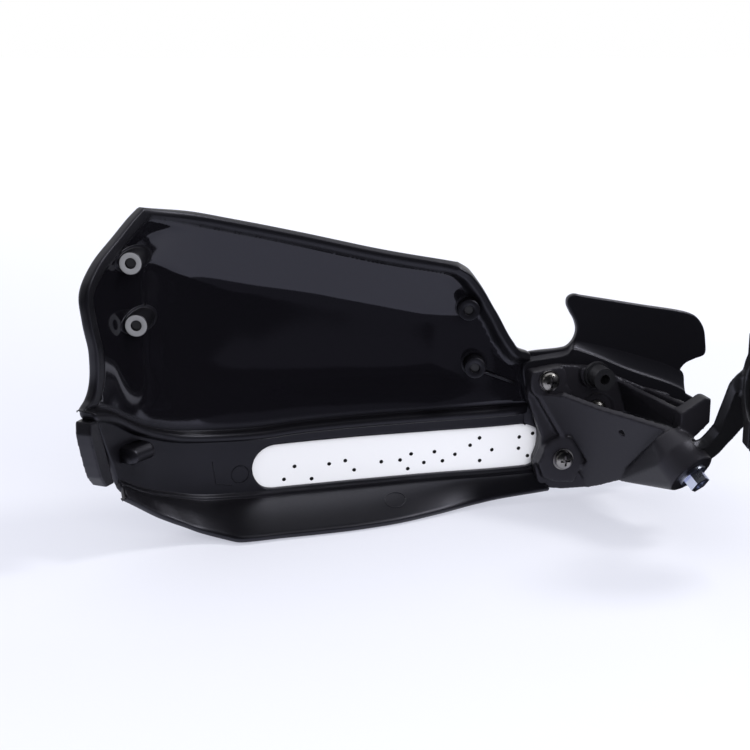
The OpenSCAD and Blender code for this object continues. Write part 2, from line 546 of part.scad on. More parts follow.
// Arm between shell and clamp
module wing_rod(c, d0, d1, d) {
    translate([c.x, -d0, c.y]) rotate([90, 0, 0]) cylinder(d = d, h = d1 - d0);
}
module wing_plate(outline, d0, d1) {
    translate([0, -d0, 0]) rotate([90, 0, 0]) linear_extrude(d1 - d0) polygon(outline);
}
insert_d = 7;
nut_af = 10;
nut_t = 4;
rear_z = ear_t + link_t + 2 * link_gap;
knuckle_z = rear_z + rear_t;
nut_z = rear_z + 3 + nut_t;
gusset_t = 3;
strap_t = 8;
pad_root = 1;
pad_u_d = 17.6;
pad_l_d = 20.8;
plate_d = saddle_out + plate_t;
pad_d = plate_d + pad_h;
washer_t = 1;
arm_seat = [pad_d, pad_d, plate_d - 1.5];
function web_d(p) = pad_d
    - (WEB_N[0] * (p.x - WEB[0].x) + WEB_N[2] * (p.y - WEB[0].y)) / WEB_N[1];
// The web's own axes: along it, across it, and out of its face towards the rider
WEB_FOOT = [WEB[0].x, -pad_d, WEB[0].y];
WEB_OUT = [WEB_N[0], -WEB_N[1], WEB_N[2]] / norm(WEB_N);
WEB_ALONG = cross([0, 0, 1], WEB_OUT) / norm(cross([0, 0, 1], WEB_OUT));
WEB_ACROSS = cross(WEB_OUT, WEB_ALONG);
module web_slab() {
    flat = [for (p = WEB) let (q = [p.x, -web_d(p), p.y] - WEB_FOOT)
        [q * WEB_ALONG, q * WEB_ACROSS]];
    translate(WEB_FOOT)
        multmatrix([for (i = [0 : 2]) [WEB_ALONG[i], WEB_ACROSS[i], WEB_OUT[i], 0]])
            translate([0, 0, -arm_wall]) linear_extrude(arm_wall) polygon(flat);
}
module bolt_frame() {
    translate([BOLT_AT[0], -BOLT_AT[1], BOLT_AT[2]]) rotate([0, bolt_tilt, bolt_turn]) children();
}
GUSSET = [[53, 8, 54.4], [57.6, 8, 39.5], [61.4, 58, 44], [60.4, 58, 53.2]];
FAR_WALL = [[66.5, 8, 49.8], [66.5, 8, 32], [70, 56, 44], [70, 56, 52.6]];
module thin_wall(q, t) {
    loft([for (k = [0, 1]) [for (p = q) [p[0] + k * t, -p[1], p[2]]]]);
}
module mount_arm() color([0.13, 0.13, 0.15]) place() wing_frame() difference() {
    union() {
        wing_plate(PLATE, saddle_out, plate_d);
        intersection() {
            wing_plate(PLATE, plate_d - pad_root, pad_d);
            union() {
                wing_plate(PAD_U, plate_d - pad_root, pad_d);
                wing_plate(PAD_L, plate_d - pad_root, pad_d);
                wing_rod(SCREW_U, plate_d - pad_root, pad_d, pad_u_d);
                wing_rod(SCREW_L, plate_d - pad_root, pad_d, pad_l_d);
                wing_rod(BUSH, plate_d - pad_root, pad_d, bush_d + 4);
            }
        }
        intersection() {
            web_slab();
            translate([0, -150 - saddle_out - pad_root, -20]) cube([120, 150, 120]);
        }
        thin_wall(GUSSET, gusset_t);
        thin_wall(FAR_WALL, gusset_t);
        wing_plate(STRAP, strap_out - strap_t, strap_out);
        hull() {
            bolt_frame() translate([0, 0, -rear_z]) cylinder(r = knuckle_r, h = rear_z, $fn = 32);
            bolt_frame() translate([0, 0, -knuckle_z]) cylinder(r = rear_r, h = rear_t, $fn = 32);
            for (k = [7 : 10]) translate([WEB[k].x, -web_d(WEB[k]), WEB[k].y])
                cube([eps, arm_wall, eps]);
        }
    }
    for (c = ARM_SCREWS) wing_rod(c, 0, 40, arm_screw_d + 0.4);
    wing_rod(SCREW_I, plate_d - 1.5, plate_d + 20, 16);
    wing_rod(BUSH, plate_d - 2, 40, bush_d * 0.6);
    for (k = [0 : 1]) wing_rod(ARM_SCREWS[k], arm_seat[k], 100, arm_washer_d + 0.8);
    bolt_frame() {
        translate([0, 0, -knuckle_z + 1]) cylinder(d = bolt_d + 0.4, h = knuckle_z + 20);
        cylinder(d = flange_d + 3, h = 30);
        link_path(link_gap + 1, -rear_z, link_t + 2 * link_gap);
        translate([-nut_af / 2 - link_gap, -nut_af * 0.6, -nut_z - link_gap])
            cube([nut_af + 2 * link_gap, 40, nut_t + 2 * link_gap]);
    }
}
module arm_screw(k) color([0.32, 0.31, 0.3]) place() wing_frame()
    let (c = ARM_SCREWS[k]) translate([c.x, -arm_seat[k] - washer_t, c.y]) rotate([90, 0, 0])
        pan_screw(arm_head_d, arm_head_h, arm_screw_d, arm_seat[k] + washer_t + wall - 0.6);
module arm_washer(k) color([0.3, 0.3, 0.31]) place() wing_frame()
    let (c = ARM_SCREWS[k]) difference() {
        wing_rod(c, arm_seat[k], arm_seat[k] + washer_t, arm_washer_d);
        wing_rod(c, 0, 40, arm_screw_d + 0.4);
    }
module insert(k) color([0.75, 0.6, 0.3]) place() wing_frame()
    let (c = ARM_SCREWS[k]) difference() {
        wing_rod(c, -wall + 0.6, saddle_out, insert_d);
        wing_rod(c, -40, 40, arm_screw_d);
    }
module rubber_bush() color([0.06, 0.06, 0.06]) place() wing_frame() difference() {
    union() {
        wing_rod(BUSH, pad_d, pad_d + bush_l, bush_d);
        wing_rod(BUSH, plate_d - 2, pad_d + eps, bush_d * 0.6);
        wing_rod(BUSH, pad_d, pad_d + 2, bush_d + 2);
    }
    wing_rod(BUSH, pad_d + bush_l * 0.3, pad_d + bush_l + 1, bush_d * 0.45);
}

// Bolt, nut and clamp
washer_face = 1.4;
head_rise = 6;
module clamp_bolt() color([0.72, 0.76, 0.84]) place() wing_frame() bolt_frame() {
    cylinder(d = flange_d, h = washer_face);
    translate([0, 0, washer_face - eps]) difference() {
        cylinder(d = bolt_af / cos(30), h = head_rise - washer_face, $fn = 6);
        translate([0, 0, head_rise - washer_face - 1.2]) cylinder(d = bolt_af * 0.62, h = 3);
    }
    translate([0, 0, -knuckle_z + 1.2]) cylinder(d = bolt_d, h = knuckle_z - 1.2 + eps);
}
module clamp_nut() color([0.7, 0.72, 0.76]) place() wing_frame() bolt_frame()
    translate([0, 0, -nut_z]) difference() {
        rotate(30) cylinder(d = nut_af / cos(30), h = nut_t, $fn = 6);
        translate([0, 0, -1]) cylinder(d = bolt_d, h = nut_t + 2);
    }
clamp_r = bar_d / 2 + clamp_wall;
clamp_gap = 1;
clamp_edge = 5.5;
clamp_screw_d = 5;
clamp_head_d = 8.5;
clamp_screw_z = bar_d / 2 + 6;
module bar_rod(d, w) {
    translate([-w / 2, 0, 0]) rotate([0, 90, 0]) cylinder(d = d, h = w);
}
module clamp_block() {
    bar_rod(2 * clamp_r, clamp_w);
    translate([-clamp_w / 2, -clamp_r * 0.6, -clamp_screw_z - clamp_edge])
        cube([clamp_w, clamp_r * 1.2, 2 * (clamp_screw_z + clamp_edge)]);
}
module half(side) {
    translate([-50, side < 0 ? -60 - clamp_gap / 2 : clamp_gap / 2, -60]) cube([100, 60, 120]);
}
// Centres of the link's rounded ends, across the bolt, from the fork to the clamp
LINK = [[0, 0], [-3, 15], [-20, 17], [-50, 2]];
module link_path(grow, z, h) {
    for (k = [0 : 2]) hull() for (c = [LINK[k], LINK[k + 1]])
        translate([c.x, c.y, z]) cylinder(r = lug_r + grow, h = h, $fn = 32);
}
link_room = 5;
bar_run = 60;
clamp_head_h = 5;
clamp_screw_l = 18;
module clamp_body() color([0.1, 0.1, 0.11]) difference() {
    union() {
        intersection() { clamp_block(); half(1); }
        difference() {
            place() wing_frame() bolt_frame() link_path(0, -rear_z + link_gap, link_t);
            bar_rod(bar_d + link_room, clamp_w + bar_run);
            half(-1);
        }
    }
    bar_rod(bar_d, clamp_w + bar_run);
    place() wing_frame() bolt_frame() translate([0, 0, -20]) cylinder(d = bolt_d + 0.4, h = 40);
    for (k = [-1, 1]) translate([0, -30, k * clamp_screw_z]) rotate([-90, 0, 0])
        cylinder(d = clamp_screw_d, h = 60);
}
module clamp_cap() color([0.1, 0.1, 0.11]) difference() {
    intersection() { clamp_block(); half(-1); }
    bar_rod(bar_d, clamp_w + 2);
    for (k = [-1, 1]) translate([0, -30, k * clamp_screw_z]) rotate([-90, 0, 0]) {
        cylinder(d = clamp_screw_d + 0.4, h = 60);
        cylinder(d = clamp_head_d + 0.8, h = 30 - clamp_r * 0.6);
    }
}
module clamp_screw(k) color([0.25, 0.25, 0.27])
    translate([0, -clamp_r * 0.6, k * clamp_screw_z]) rotate([90, 0, 0]) difference() {
        union() {
            cylinder(d = clamp_head_d, h = clamp_head_h);
            translate([0, 0, -clamp_screw_l]) cylinder(d = clamp_screw_d, h = clamp_screw_l + eps);
        }
        translate([0, 0, 2.5]) cylinder(d = 4 / cos(30), h = 3, $fn = 6);
    }

guard_shell();
accent_strip();
front_cover();
cover_screw(BOSSES[0]);  // cover_screw_1
cover_screw(BOSSES[1]);  // cover_screw_2
cover_screw(BOSSES[2]);  // cover_screw_3
cover_screw(BOSSES[3]);  // cover_screw_4
end_cap();
end_cap_screw();
mount_arm();
arm_screw(0);  // arm_screw_upper
arm_screw(1);  // arm_screw_lower
arm_screw(2);  // arm_screw_inner
arm_washer(0);  // arm_washer_upper
arm_washer(1);  // arm_washer_lower
arm_washer(2);  // arm_washer_inner
insert(0);  // insert_upper
insert(1);  // insert_lower
insert(2);  // insert_inner
rubber_bush();
clamp_bolt();
clamp_nut();
clamp_body();
clamp_cap();
clamp_screw(1);  // clamp_screw_upper
clamp_screw(-1);  // clamp_screw_lower
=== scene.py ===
import math

import bmesh
import bpy
import numpy as np
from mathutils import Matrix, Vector
from mathutils.geometry import delaunay_2d_cdt


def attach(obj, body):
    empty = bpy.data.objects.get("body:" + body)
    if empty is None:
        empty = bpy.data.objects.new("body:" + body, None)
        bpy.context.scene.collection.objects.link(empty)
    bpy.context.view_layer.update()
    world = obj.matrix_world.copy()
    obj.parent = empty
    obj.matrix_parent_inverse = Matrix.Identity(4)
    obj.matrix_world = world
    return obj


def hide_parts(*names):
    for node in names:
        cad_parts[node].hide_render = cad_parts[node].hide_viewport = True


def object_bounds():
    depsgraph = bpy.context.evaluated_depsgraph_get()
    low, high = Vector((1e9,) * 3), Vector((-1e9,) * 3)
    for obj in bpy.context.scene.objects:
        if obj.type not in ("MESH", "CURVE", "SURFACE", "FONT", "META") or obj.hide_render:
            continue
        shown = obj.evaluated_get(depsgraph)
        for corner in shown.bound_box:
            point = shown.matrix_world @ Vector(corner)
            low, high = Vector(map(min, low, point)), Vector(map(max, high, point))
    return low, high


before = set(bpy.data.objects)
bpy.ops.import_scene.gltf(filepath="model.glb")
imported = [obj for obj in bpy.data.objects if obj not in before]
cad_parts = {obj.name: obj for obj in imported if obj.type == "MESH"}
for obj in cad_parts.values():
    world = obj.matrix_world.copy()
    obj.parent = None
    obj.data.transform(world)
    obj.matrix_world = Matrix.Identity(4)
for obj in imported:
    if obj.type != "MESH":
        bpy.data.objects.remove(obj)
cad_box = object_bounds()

# ---------------------------------------------------------------- the part's own sizes, in mm
BAR_H = 74.0
WALL = 3.0
PANEL_SAG = 5.0
TOP_LEAN = 8.0
RIDGE_OUT = 4.5
RIDGE_T = 2.6
LEDGE_OUT = 2.0
RIM_W = 3.6
RIM_H = 1.3
BEAD_EXTRA = 1.8
BEAD_SOFT = 1.2
BEAD_RISE = 3.4
BOSS_D = 9.4
BOSS_BORE = 4.2
BOSS_REACH = 5.0
SLOT_H = 20.4
SLOT_RUN = 110.0
SLOT_AT = (-199.5, 21.6)
SLOT_RISE = math.radians(1.5)
SLOT_END = (10.9, 24.5)
WING_TURN = math.radians(15)
SADDLE_OUT = 4.0
INSERT_D = 7.0
COVER_BACK = WALL + 0.9
COVER_T = 2.2
SEAT_GAP = 0.2
STRIP_T = 1.8
STRIP_LAP = 3.0
VENT_D = 1.7
VENT_FROM = -196.5
VENT_SHIFT = (0.9, 0.083)
VENT_DROP = (2.1, 0.034)
VENT_FLOOR = 0.5
JOIN_S = 225.0
MM = 0.001

PLAN = [[-282, -36], [-272, -8], [-267, 6], [-260, 20], [-250, 36], [-232, 54],
        [-207, 65], [-170, 75], [-130, 82], [-100, 87], [-44, 102], [12, 117]]
TOP_H = [[-10, 152], [20, 147.5], [45, 142.6], [76, 136], [120, 125.6], [155, 117],
         [187, 110.6], [250, 98.2], [330, 81]]
RIDGE_H = [[-10, 68], [6, 66.5], [18, 64], [27, 60.5], [38, 54], [50, 48.4], [64, 43.4],
           [80, 40.6], [102, 39.4], [121, 40.4], [166, 42], [221, 43.5], [330, 46]]
FOLD_H = [[-10, 33], [20, 32.5], [30, 30.5], [42, 24], [56, 18.3], [75, 12.1],
          [93, 10.2], [121, 9.8], [148, 10.3], [175, 11.5], [227, 12.6], [330, 14]]
LIP_H = [[-10, 32.5], [20, 31], [27, 26], [42, 15.5], [52, 10.5], [61, 6], [72, 3.4],
         [90, 3], [180, 2.6], [200, 3], [210, 4.2], [227, 6], [330, 12]]
LIP_D = [[-10, 2.6], [20, 3], [27, 7], [42, 11.5], [52, 16], [61, 20], [71, 26],
         [82, 31], [104, 32], [122, 31.8], [142, 30], [161, 26], [181, 18.5], [201, 11],
         [227, 10], [330, 10]]
LEFT_S = [[0, 47], [0.06, 40], [0.17, 29], [0.3, 16], [0.43, 7], [0.57, 8], [0.74, 12.5],
          [0.9, 15], [0.96, 13], [1, 8]]
RIGHT_S = [[0, 190], [0.025, 194.4], [0.05, 196.8], [0.276, 207.5], [0.506, 216],
           [0.565, 219.4], [0.592, 224], [0.64, 225], [1, 225]]
LIP_END_S = 227.0
SCALLOP = [[28.4, 69.2], [31.6, 69.9], [34.4, 72.6], [35.8, 76.8], [34.8, 81.4],
           [32.4, 85.6], [30.8, 89.2], [31.2, 92.2], [34, 93.7]]
WING_END = [[38, 92.9], [65, 87.4], [91.4, 81.7], [95.2, 79.4], [98.6, 74.6], [100, 68],
            [100, 61.8], [95, 59.9], [90.4, 58], [87.9, 55], [87.3, 51], [88.6, 47.2],
            [91.4, 43.8], [95, 41.6], [99, 39]]
SADDLE_TOP = [[8, 65], [28, 66.4], [31.2, 67.4], [33, 70], [46, 64.8], [60, 58.2],
              [81.5, 50.2], [90, 46]]
SADDLE_SLOPE = [[0, 1], [0.2, 1.8], [0.6, 1.8], [2.6, 3], [0, 3.6], [0, 3.6], [0, 3.6], [0, 3.6]]
SADDLE_FOOT = [[90, 40], [62, 20], [54, 6], [21, 7], [18, 10], [16, 18], [18.6, 24.4],
               [18.8, 31], [15.6, 38.5], [12, 46]]
BOSSES = [[-252, 121.8], [-251.6, 95.6], [-115, 90.4], [-112, 64.6]]
ARM_SCREWS = [[18.5, 57.7], [26.3, 20.7], [44, 41]]
COVER_TOP = [[30, 112], [44, 129], [60, 130], [120, 117], [184, 103.5], [196, 92], [208, 74]]
VENTS = [[-196.5, 16.6], [-192.2, 22.4], [-185.4, 16.2], [-178.2, 22.8], [-171.6, 24],
         [-168, 19.5], [-156.8, 23], [-149, 23.6], [-145.8, 19.4], [-144.4, 26.4], [-139, 22.2],
         [-134.6, 27.2], [-131.2, 22.8], [-126, 25.8], [-119.6, 30], [-115.6, 33.4], [-115.4, 22.6],
         [-110.2, 27.6], [-98.6, 27.8], [-98.4, 33.2], [-94.6, 24], [-92.6, 34.6], [-92, 24.6]]
RIB_TO_SADDLE = [[-12, 62.6], [6, 55]]
RIB_S = (31.0, 45.0)
RIB_H = 42.3


VENTS = [[x + VENT_SHIFT[0] + VENT_SHIFT[1] * (x - VENT_FROM),
          h - VENT_DROP[0] - VENT_DROP[1] * (x - VENT_FROM)] for x, h in VENTS]


# ---------------------------------------------------------------- curves and sections
def curve(table, x):
    """Smooth curve through the points of a table."""
    t = np.asarray(table, float)
    kx, ky = t[:, 0], t[:, 1]
    x = np.asarray(x, float)
    i = np.clip(np.searchsorted(kx, x, side="right") - 1, 0, len(kx) - 2)
    r = np.diff(ky) / np.diff(kx)
    m = np.concatenate([[r[0]], (r[:-1] + r[1:]) / 2, [r[-1]]])
    w = kx[i + 1] - kx[i]
    u = (x - kx[i]) / w
    a, b, ma, mb = ky[i], ky[i + 1], m[i] * w, m[i + 1] * w
    return a + u * (ma + u * (3 * (b - a) - 2 * ma - mb + u * (2 * (a - b) + ma + mb)))


def smooth(u):
    u = np.clip(u, 0, 1)
    return u * u * (3 - 2 * u)


RUN = np.concatenate([[0], np.cumsum(np.hypot(*np.diff(np.array(PLAN, float), axis=0).T))])
PLAN_X = [[s - RUN[1], p[0]] for s, p in zip(RUN, PLAN)]
PLAN_Y = [[s - RUN[1], p[1]] for s, p in zip(RUN, PLAN)]
S_LINE = np.linspace(-20, 330, 3501)
X_LINE = curve(PLAN_X, S_LINE)


def s_of_x(x):
    return np.interp(x, X_LINE, S_LINE)


def at(s, d, h):
    """Point of the shell: along the plan line, towards the rider, and up."""
    s, d, h = np.broadcast_arrays(*(np.asarray(q, float) for q in (s, d, h)))
    vx = curve(PLAN_X, s + 0.5) - curve(PLAN_X, s - 0.5)
    vy = curve(PLAN_Y, s + 0.5) - curve(PLAN_Y, s - 0.5)
    n = np.hypot(vx, vy)
    return np.stack([curve(PLAN_X, s) + d * vy / n, curve(PLAN_Y, s) - d * vx / n, h - BAR_H], -1)


def wing_at(x, d, h):
    """Point of the wing's plane: along it, towards the rider, and up."""
    x, d, h = np.broadcast_arrays(*(np.asarray(q, float) for q in (x, d, h)))
    c, s = math.cos(WING_TURN), math.sin(WING_TURN)
    return np.stack([-100 + x * c + d * s, 87 + x * s - d * c, h - BAR_H], -1)


LEAN_PART = 0.3


def panel_share(s):
    return 1 - smooth((s - 180) / 36)


def panel_d(s, f):
    u = np.clip(f / LEAN_PART, 0, 1)
    lean = (1 - u) ** 2
    w = np.clip((f - LEAN_PART) / (1 - LEAN_PART), 0, 1)
    hollow = np.where(f < LEAN_PART, 1 - (1 - u) ** 2, np.cos(math.pi / 2 * w ** 1.35))
    e = smooth((s - curve(LEFT_S, f)) / 36)
    p = panel_share(s)
    return p * e * (TOP_LEAN * lean - PANEL_SAG * hollow) + (1 - p) \
        + (1 - e) * 4 * smooth(3 * (1 - f))


INNER_SLOPE = 0.5
INNER_DEPTH = 2.0
KNEE_SHIFT = [[0, -13], [30, -13], [50, -9.5], [70, -4], [93, -1], [130, 2], [175, 7],
              [230, 7]]


def panel_in(s, f):
    """The panel's face towards the rider: an even slope under the top edge, then nearly flat."""
    tall = top_h(s) - foot_h(s)
    g = f * tall
    knee = LEAN_PART * tall + 1.5 - 5 * smooth((s - 60) / 130)
    knee = knee + np.interp(s, *np.array(KNEE_SHIFT, float).T)
    slope = np.minimum(INNER_SLOPE, (TOP_LEAN + INNER_DEPTH) / knee)
    bend = np.sqrt((g - knee) ** 2 + 6.0)
    fall = slope * 0.5 * (g + knee - bend)
    w = np.clip((f - LEAN_PART) / (1 - LEAN_PART), 0, 1)
    rise = slope * knee - fall
    e = smooth((s - curve(LEFT_S, f)) / 36)
    p = panel_share(s)
    base = TOP_LEAN - slope * knee
    flat = base * (1 - smooth((w - 0.55) / 0.45))
    return p * e * (flat + rise) + (1 - p) + (1 - e) * 4 * smooth(3 * (1 - f))


def top_h(s):
    return curve(TOP_H, s)


def foot_h(s):
    return curve(RIDGE_H, s) + 1.6


# Section below the panel as keys: v, share of the rib, height above the ridge line
RIB_KEYS = [(1.0, 0.0, 1.6), (1.1, 0.06, 1.3), (1.2, 0.45, 0.95), (1.3, 0.86, 0.45),
            (1.4, 1.0, -0.35), (1.5, 1.02, -1.3), (1.6, 1.0, -2.25), (1.7, 0.86, -3.0),
            (1.8, 0.45, -3.4), (1.9, 0.06, -3.7), (2.0, 0.0, -4.1)]
LIP_STEPS = 8


def lip_drop(g):
    return 0.35 * g + 0.65 * g * g * (1.6 - 0.6 * g)


def lower_keys(s, ribs):
    """Keys of the section below the panel for each s: v, depth, height."""
    ridge, fold = curve(RIDGE_H, s), curve(FOLD_H, s)
    reach = RIDGE_OUT * (1 - 0.75 * smooth((s - 217) / 9))
    keys = [(v, reach * k if ribs else 0 * s, ridge + dh) for v, k, dh in RIB_KEYS]
    t, b = ridge - 4.1, fold + 2.2
    keys += [(v, 0 * s, t + (b - t) * (v - 2)) for v in (2.2, 2.4, 2.6, 2.8, 3.0)]
    share = 1.0 if ribs else 0.5
    for v, k, dh in ((3.1, 0.02, 1.7), (3.2, 0.25, 1.25), (3.3, 0.7, 0.8), (3.4, 0.97, 0.35)):
        keys.append((v, 0 * s + LEDGE_OUT * k * share, fold + dh))
    lip_d, lip_h = curve(LIP_D, s), curve(LIP_H, s)
    for k in range(LIP_STEPS + 1):
        g = k / LIP_STEPS
        drop = lip_drop(g)
        d = LEDGE_OUT + (lip_d - LEDGE_OUT) * g
        h = fold - 0.4 - (fold - 0.4 - lip_h) * drop
        if not ribs:
            near = max(0.0, 1 - g / 0.25)
            d = d - 0.4 * LEDGE_OUT * near
        keys.append((3.5 + g, d, h))
    return keys


def section(s, v, ribs):
    """Depth and height of the section at s and v; 0 is the top edge and 4.5 the lip's edge."""
    s, v = np.broadcast_arrays(np.asarray(s, float), np.asarray(v, float))
    f = np.clip(v, -0.05, 1)
    top = top_h(s)
    d = panel_in(s, f) if ribs else panel_d(s, f)
    h = top + (foot_h(s) - top) * f
    low = v > 1
    if low.any():
        sl, vl = s[low], v[low]
        keys = lower_keys(sl, ribs)
        kv = np.array([k[0] for k in keys])
        i = np.clip(np.searchsorted(kv, vl, side="right") - 1, 0, len(kv) - 2)
        cols = np.arange(len(sl))
        for which, out in ((1, d), (2, h)):
            ky = np.stack([k[which] for k in keys])
            if which == 1:
                ky[0] = (panel_in if ribs else panel_d)(sl, np.ones_like(sl))
            r = np.diff(ky, axis=0) / np.diff(kv)[:, None]
            m = np.concatenate([r[:1], (r[:-1] + r[1:]) / 2, r[-1:]])
            w = kv[i + 1] - kv[i]
            u = (vl - kv[i]) / w
            a, b = ky[i, cols], ky[i + 1, cols]
            ma, mb = m[i, cols] * w, m[i + 1, cols] * w
            out[low] = a + u * (ma + u * (3 * (b - a) - 2 * ma - mb
                                          + u * (2 * (a - b) + ma + mb)))
    return d, h


V_KNOTS = [0, 1, 2, 3, 3.5, 4.5]
Y_KNOTS = [0, 70, 81, 103, 108, 142]
LEFT_V = LEFT_S[:-1] + [[1.0, 9.4], [1.3, 9.4], [1.6, 10.4], [1.75, 13], [1.9, 17.5], [2, 18], [2.5, 23.2],
                        [3, 28.4], [3.5, 29], [4, 27.4], [4.5, 25.6]]
RIGHT_V = RIGHT_S[:-1] + [[1, 225], [3, 225], [3.5, 229], [4.5, 233]]


def v_of_y(y):
    return np.interp(-y, Y_KNOTS, V_KNOTS)


def y_of_v(v):
    return -np.interp(v, V_KNOTS, Y_KNOTS)


# ---------------------------------------------------------------- meshes
def resample(line, step, closed=False):
    line = np.asarray(line, float)
    if closed:
        line = np.vstack([line, line[:1]])
    run = np.concatenate([[0], np.cumsum(np.linalg.norm(np.diff(line, axis=0), axis=1))])
    n = max(2, int(round(run[-1] / step)))
    u = np.linspace(0, run[-1], n + 1)
    out = np.stack([np.interp(u, run, line[:, k]) for k in range(line.shape[1])], -1)
    return out[:-1] if closed else out


def rounded(points, sharp=(), steps=8, closed=True):
    """Centripetal smooth line through points; the ones listed in sharp stay corners."""
    p = [np.array(q, float) for q in points]
    n = len(p)
    out = []
    for i in range(n if closed else n - 1):
        a, b, c, d = p[i - 1 if closed or i else 0], p[i], p[(i + 1) % n], \
            p[(i + 2) % n] if closed or i < n - 2 else p[-1]
        if i in sharp or (not closed and i == 0):
            a = b + (b - c)
        if (i + 1) % n in sharp or (not closed and i == n - 2):
            d = c + (c - b)
        k = [max(1e-6, np.linalg.norm(q)) ** 0.5 for q in (b - a, c - b, d - c)]
        m1 = (b - a) / k[0] ** 2 if k[0] else 0
        ta = (c - b) / k[1] - (c - a) / (k[0] + k[1]) + (b - a) / k[0]
        tb = (d - c) / k[2] - (d - b) / (k[1] + k[2]) + (c - b) / k[1]
        ta, tb = ta * k[1], tb * k[1]
        for u in np.linspace(0, 1, steps, endpoint=False):
            out.append(b + u * (ta + u * (3 * (c - b) - 2 * ta - tb + u * (2 * (b - c) + ta + tb))))
    if not closed:
        out.append(p[-1])
    return np.array(out)


def area(loop):
    x, y = loop[:, 0], loop[:, 1]
    return 0.5 * np.sum(x * np.roll(y, -1) - np.roll(x, -1) * y)


def inside(pts, loop):
    """Which points lie in a closed loop."""
    a, b = loop, np.roll(loop, -1, axis=0)
    odd = np.zeros(len(pts), bool)
    for k in range(0, len(pts), 4000):
        p = pts[k:k + 4000]
        y, x = p[:, 1:2], p[:, 0:1]
        cross = (a[:, 1] > y) != (b[:, 1] > y)
        with np.errstate(divide="ignore", invalid="ignore"):
            at_x = a[:, 0] + (y - a[:, 1]) / (b[:, 1] - a[:, 1]) * (b[:, 0] - a[:, 0])
        odd[k:k + 4000] = (np.sum(cross & (x < at_x), axis=1) % 2) == 1
    return odd


def distance(pts, line):
    """Distance of each point from a polyline."""
    a, d = line[:-1], np.diff(line, axis=0)
    dd = np.maximum(1e-12, np.sum(d * d, axis=1))
    out = np.empty(len(pts))
    for k in range(0, len(pts), 3000):
        p = pts[k:k + 3000, None, :] - a
        u = np.clip(np.sum(p * d, axis=2) / dd, 0, 1)
        out[k:k + 3000] = np.sqrt(np.min(np.sum((p - u[..., None] * d) ** 2, axis=2), axis=1))
    return out


def thin(points, gap):
    """Leaves out points that lie too close to an earlier one."""
    seen, keep = {}, []
    for i, (x, y) in enumerate(points):
        cx, cy = int(x // gap), int(y // gap)
        near = False
        for ax in (-1, 0, 1):
            for ay in (-1, 0, 1):
                for q in seen.get((cx + ax, cy + ay), ()):
                    if (q[0] - x) ** 2 + (q[1] - y) ** 2 < gap * gap:
                        near = True
        if not near:
            seen.setdefault((cx, cy), []).append((x, y))
            keep.append(i)
    return points[keep]


def new_object(name, verts, faces, values=None):
    me = bpy.data.meshes.new(name)
    me.from_pydata((np.asarray(verts) * MM).tolist(), [], faces)
    for key, row in (values or {}).items():
        me.attributes.new(key, "FLOAT", "POINT").data.foreach_set("value", np.asarray(row, np.float32))
    bm = bmesh.new()
    bm.from_mesh(me)
    bmesh.ops.recalc_face_normals(bm, faces=bm.faces)
    for f in bm.faces:
        f.smooth = True
    bm.to_mesh(me)
    bm.free()
    ob = bpy.data.objects.new(name, me)
    bpy.context.collection.objects.link(ob)
    return ob


def inward(metric, loop):
    """Step in the domain for each mm into the sheet; outer loops run left, holes run right."""
    e = 0.05
    one = lambda da, db: metric(loop + np.array([da, db]))
    pa = (one(e, 0) - one(-e, 0)) / (2 * e)
    pb = (one(0, e) - one(0, -e)) / (2 * e)
    p = metric(loop)
    t = np.roll(p, -1, axis=0) - np.roll(p, 1, axis=0)
    n = np.cross(pa, pb)
    i = np.cross(n, t)
    i /= np.linalg.norm(i, axis=1)[:, None]
    aa, bb, ab = (np.sum(q, axis=1) for q in (pa * pa, pb * pb, pa * pb))
    ia, ib = np.sum(i * pa, axis=1), np.sum(i * pb, axis=1)
    det = aa * bb - ab * ab
    return np.stack([(ia * bb - ib * ab) / det, (ib * aa - ia * ab) / det], -1)


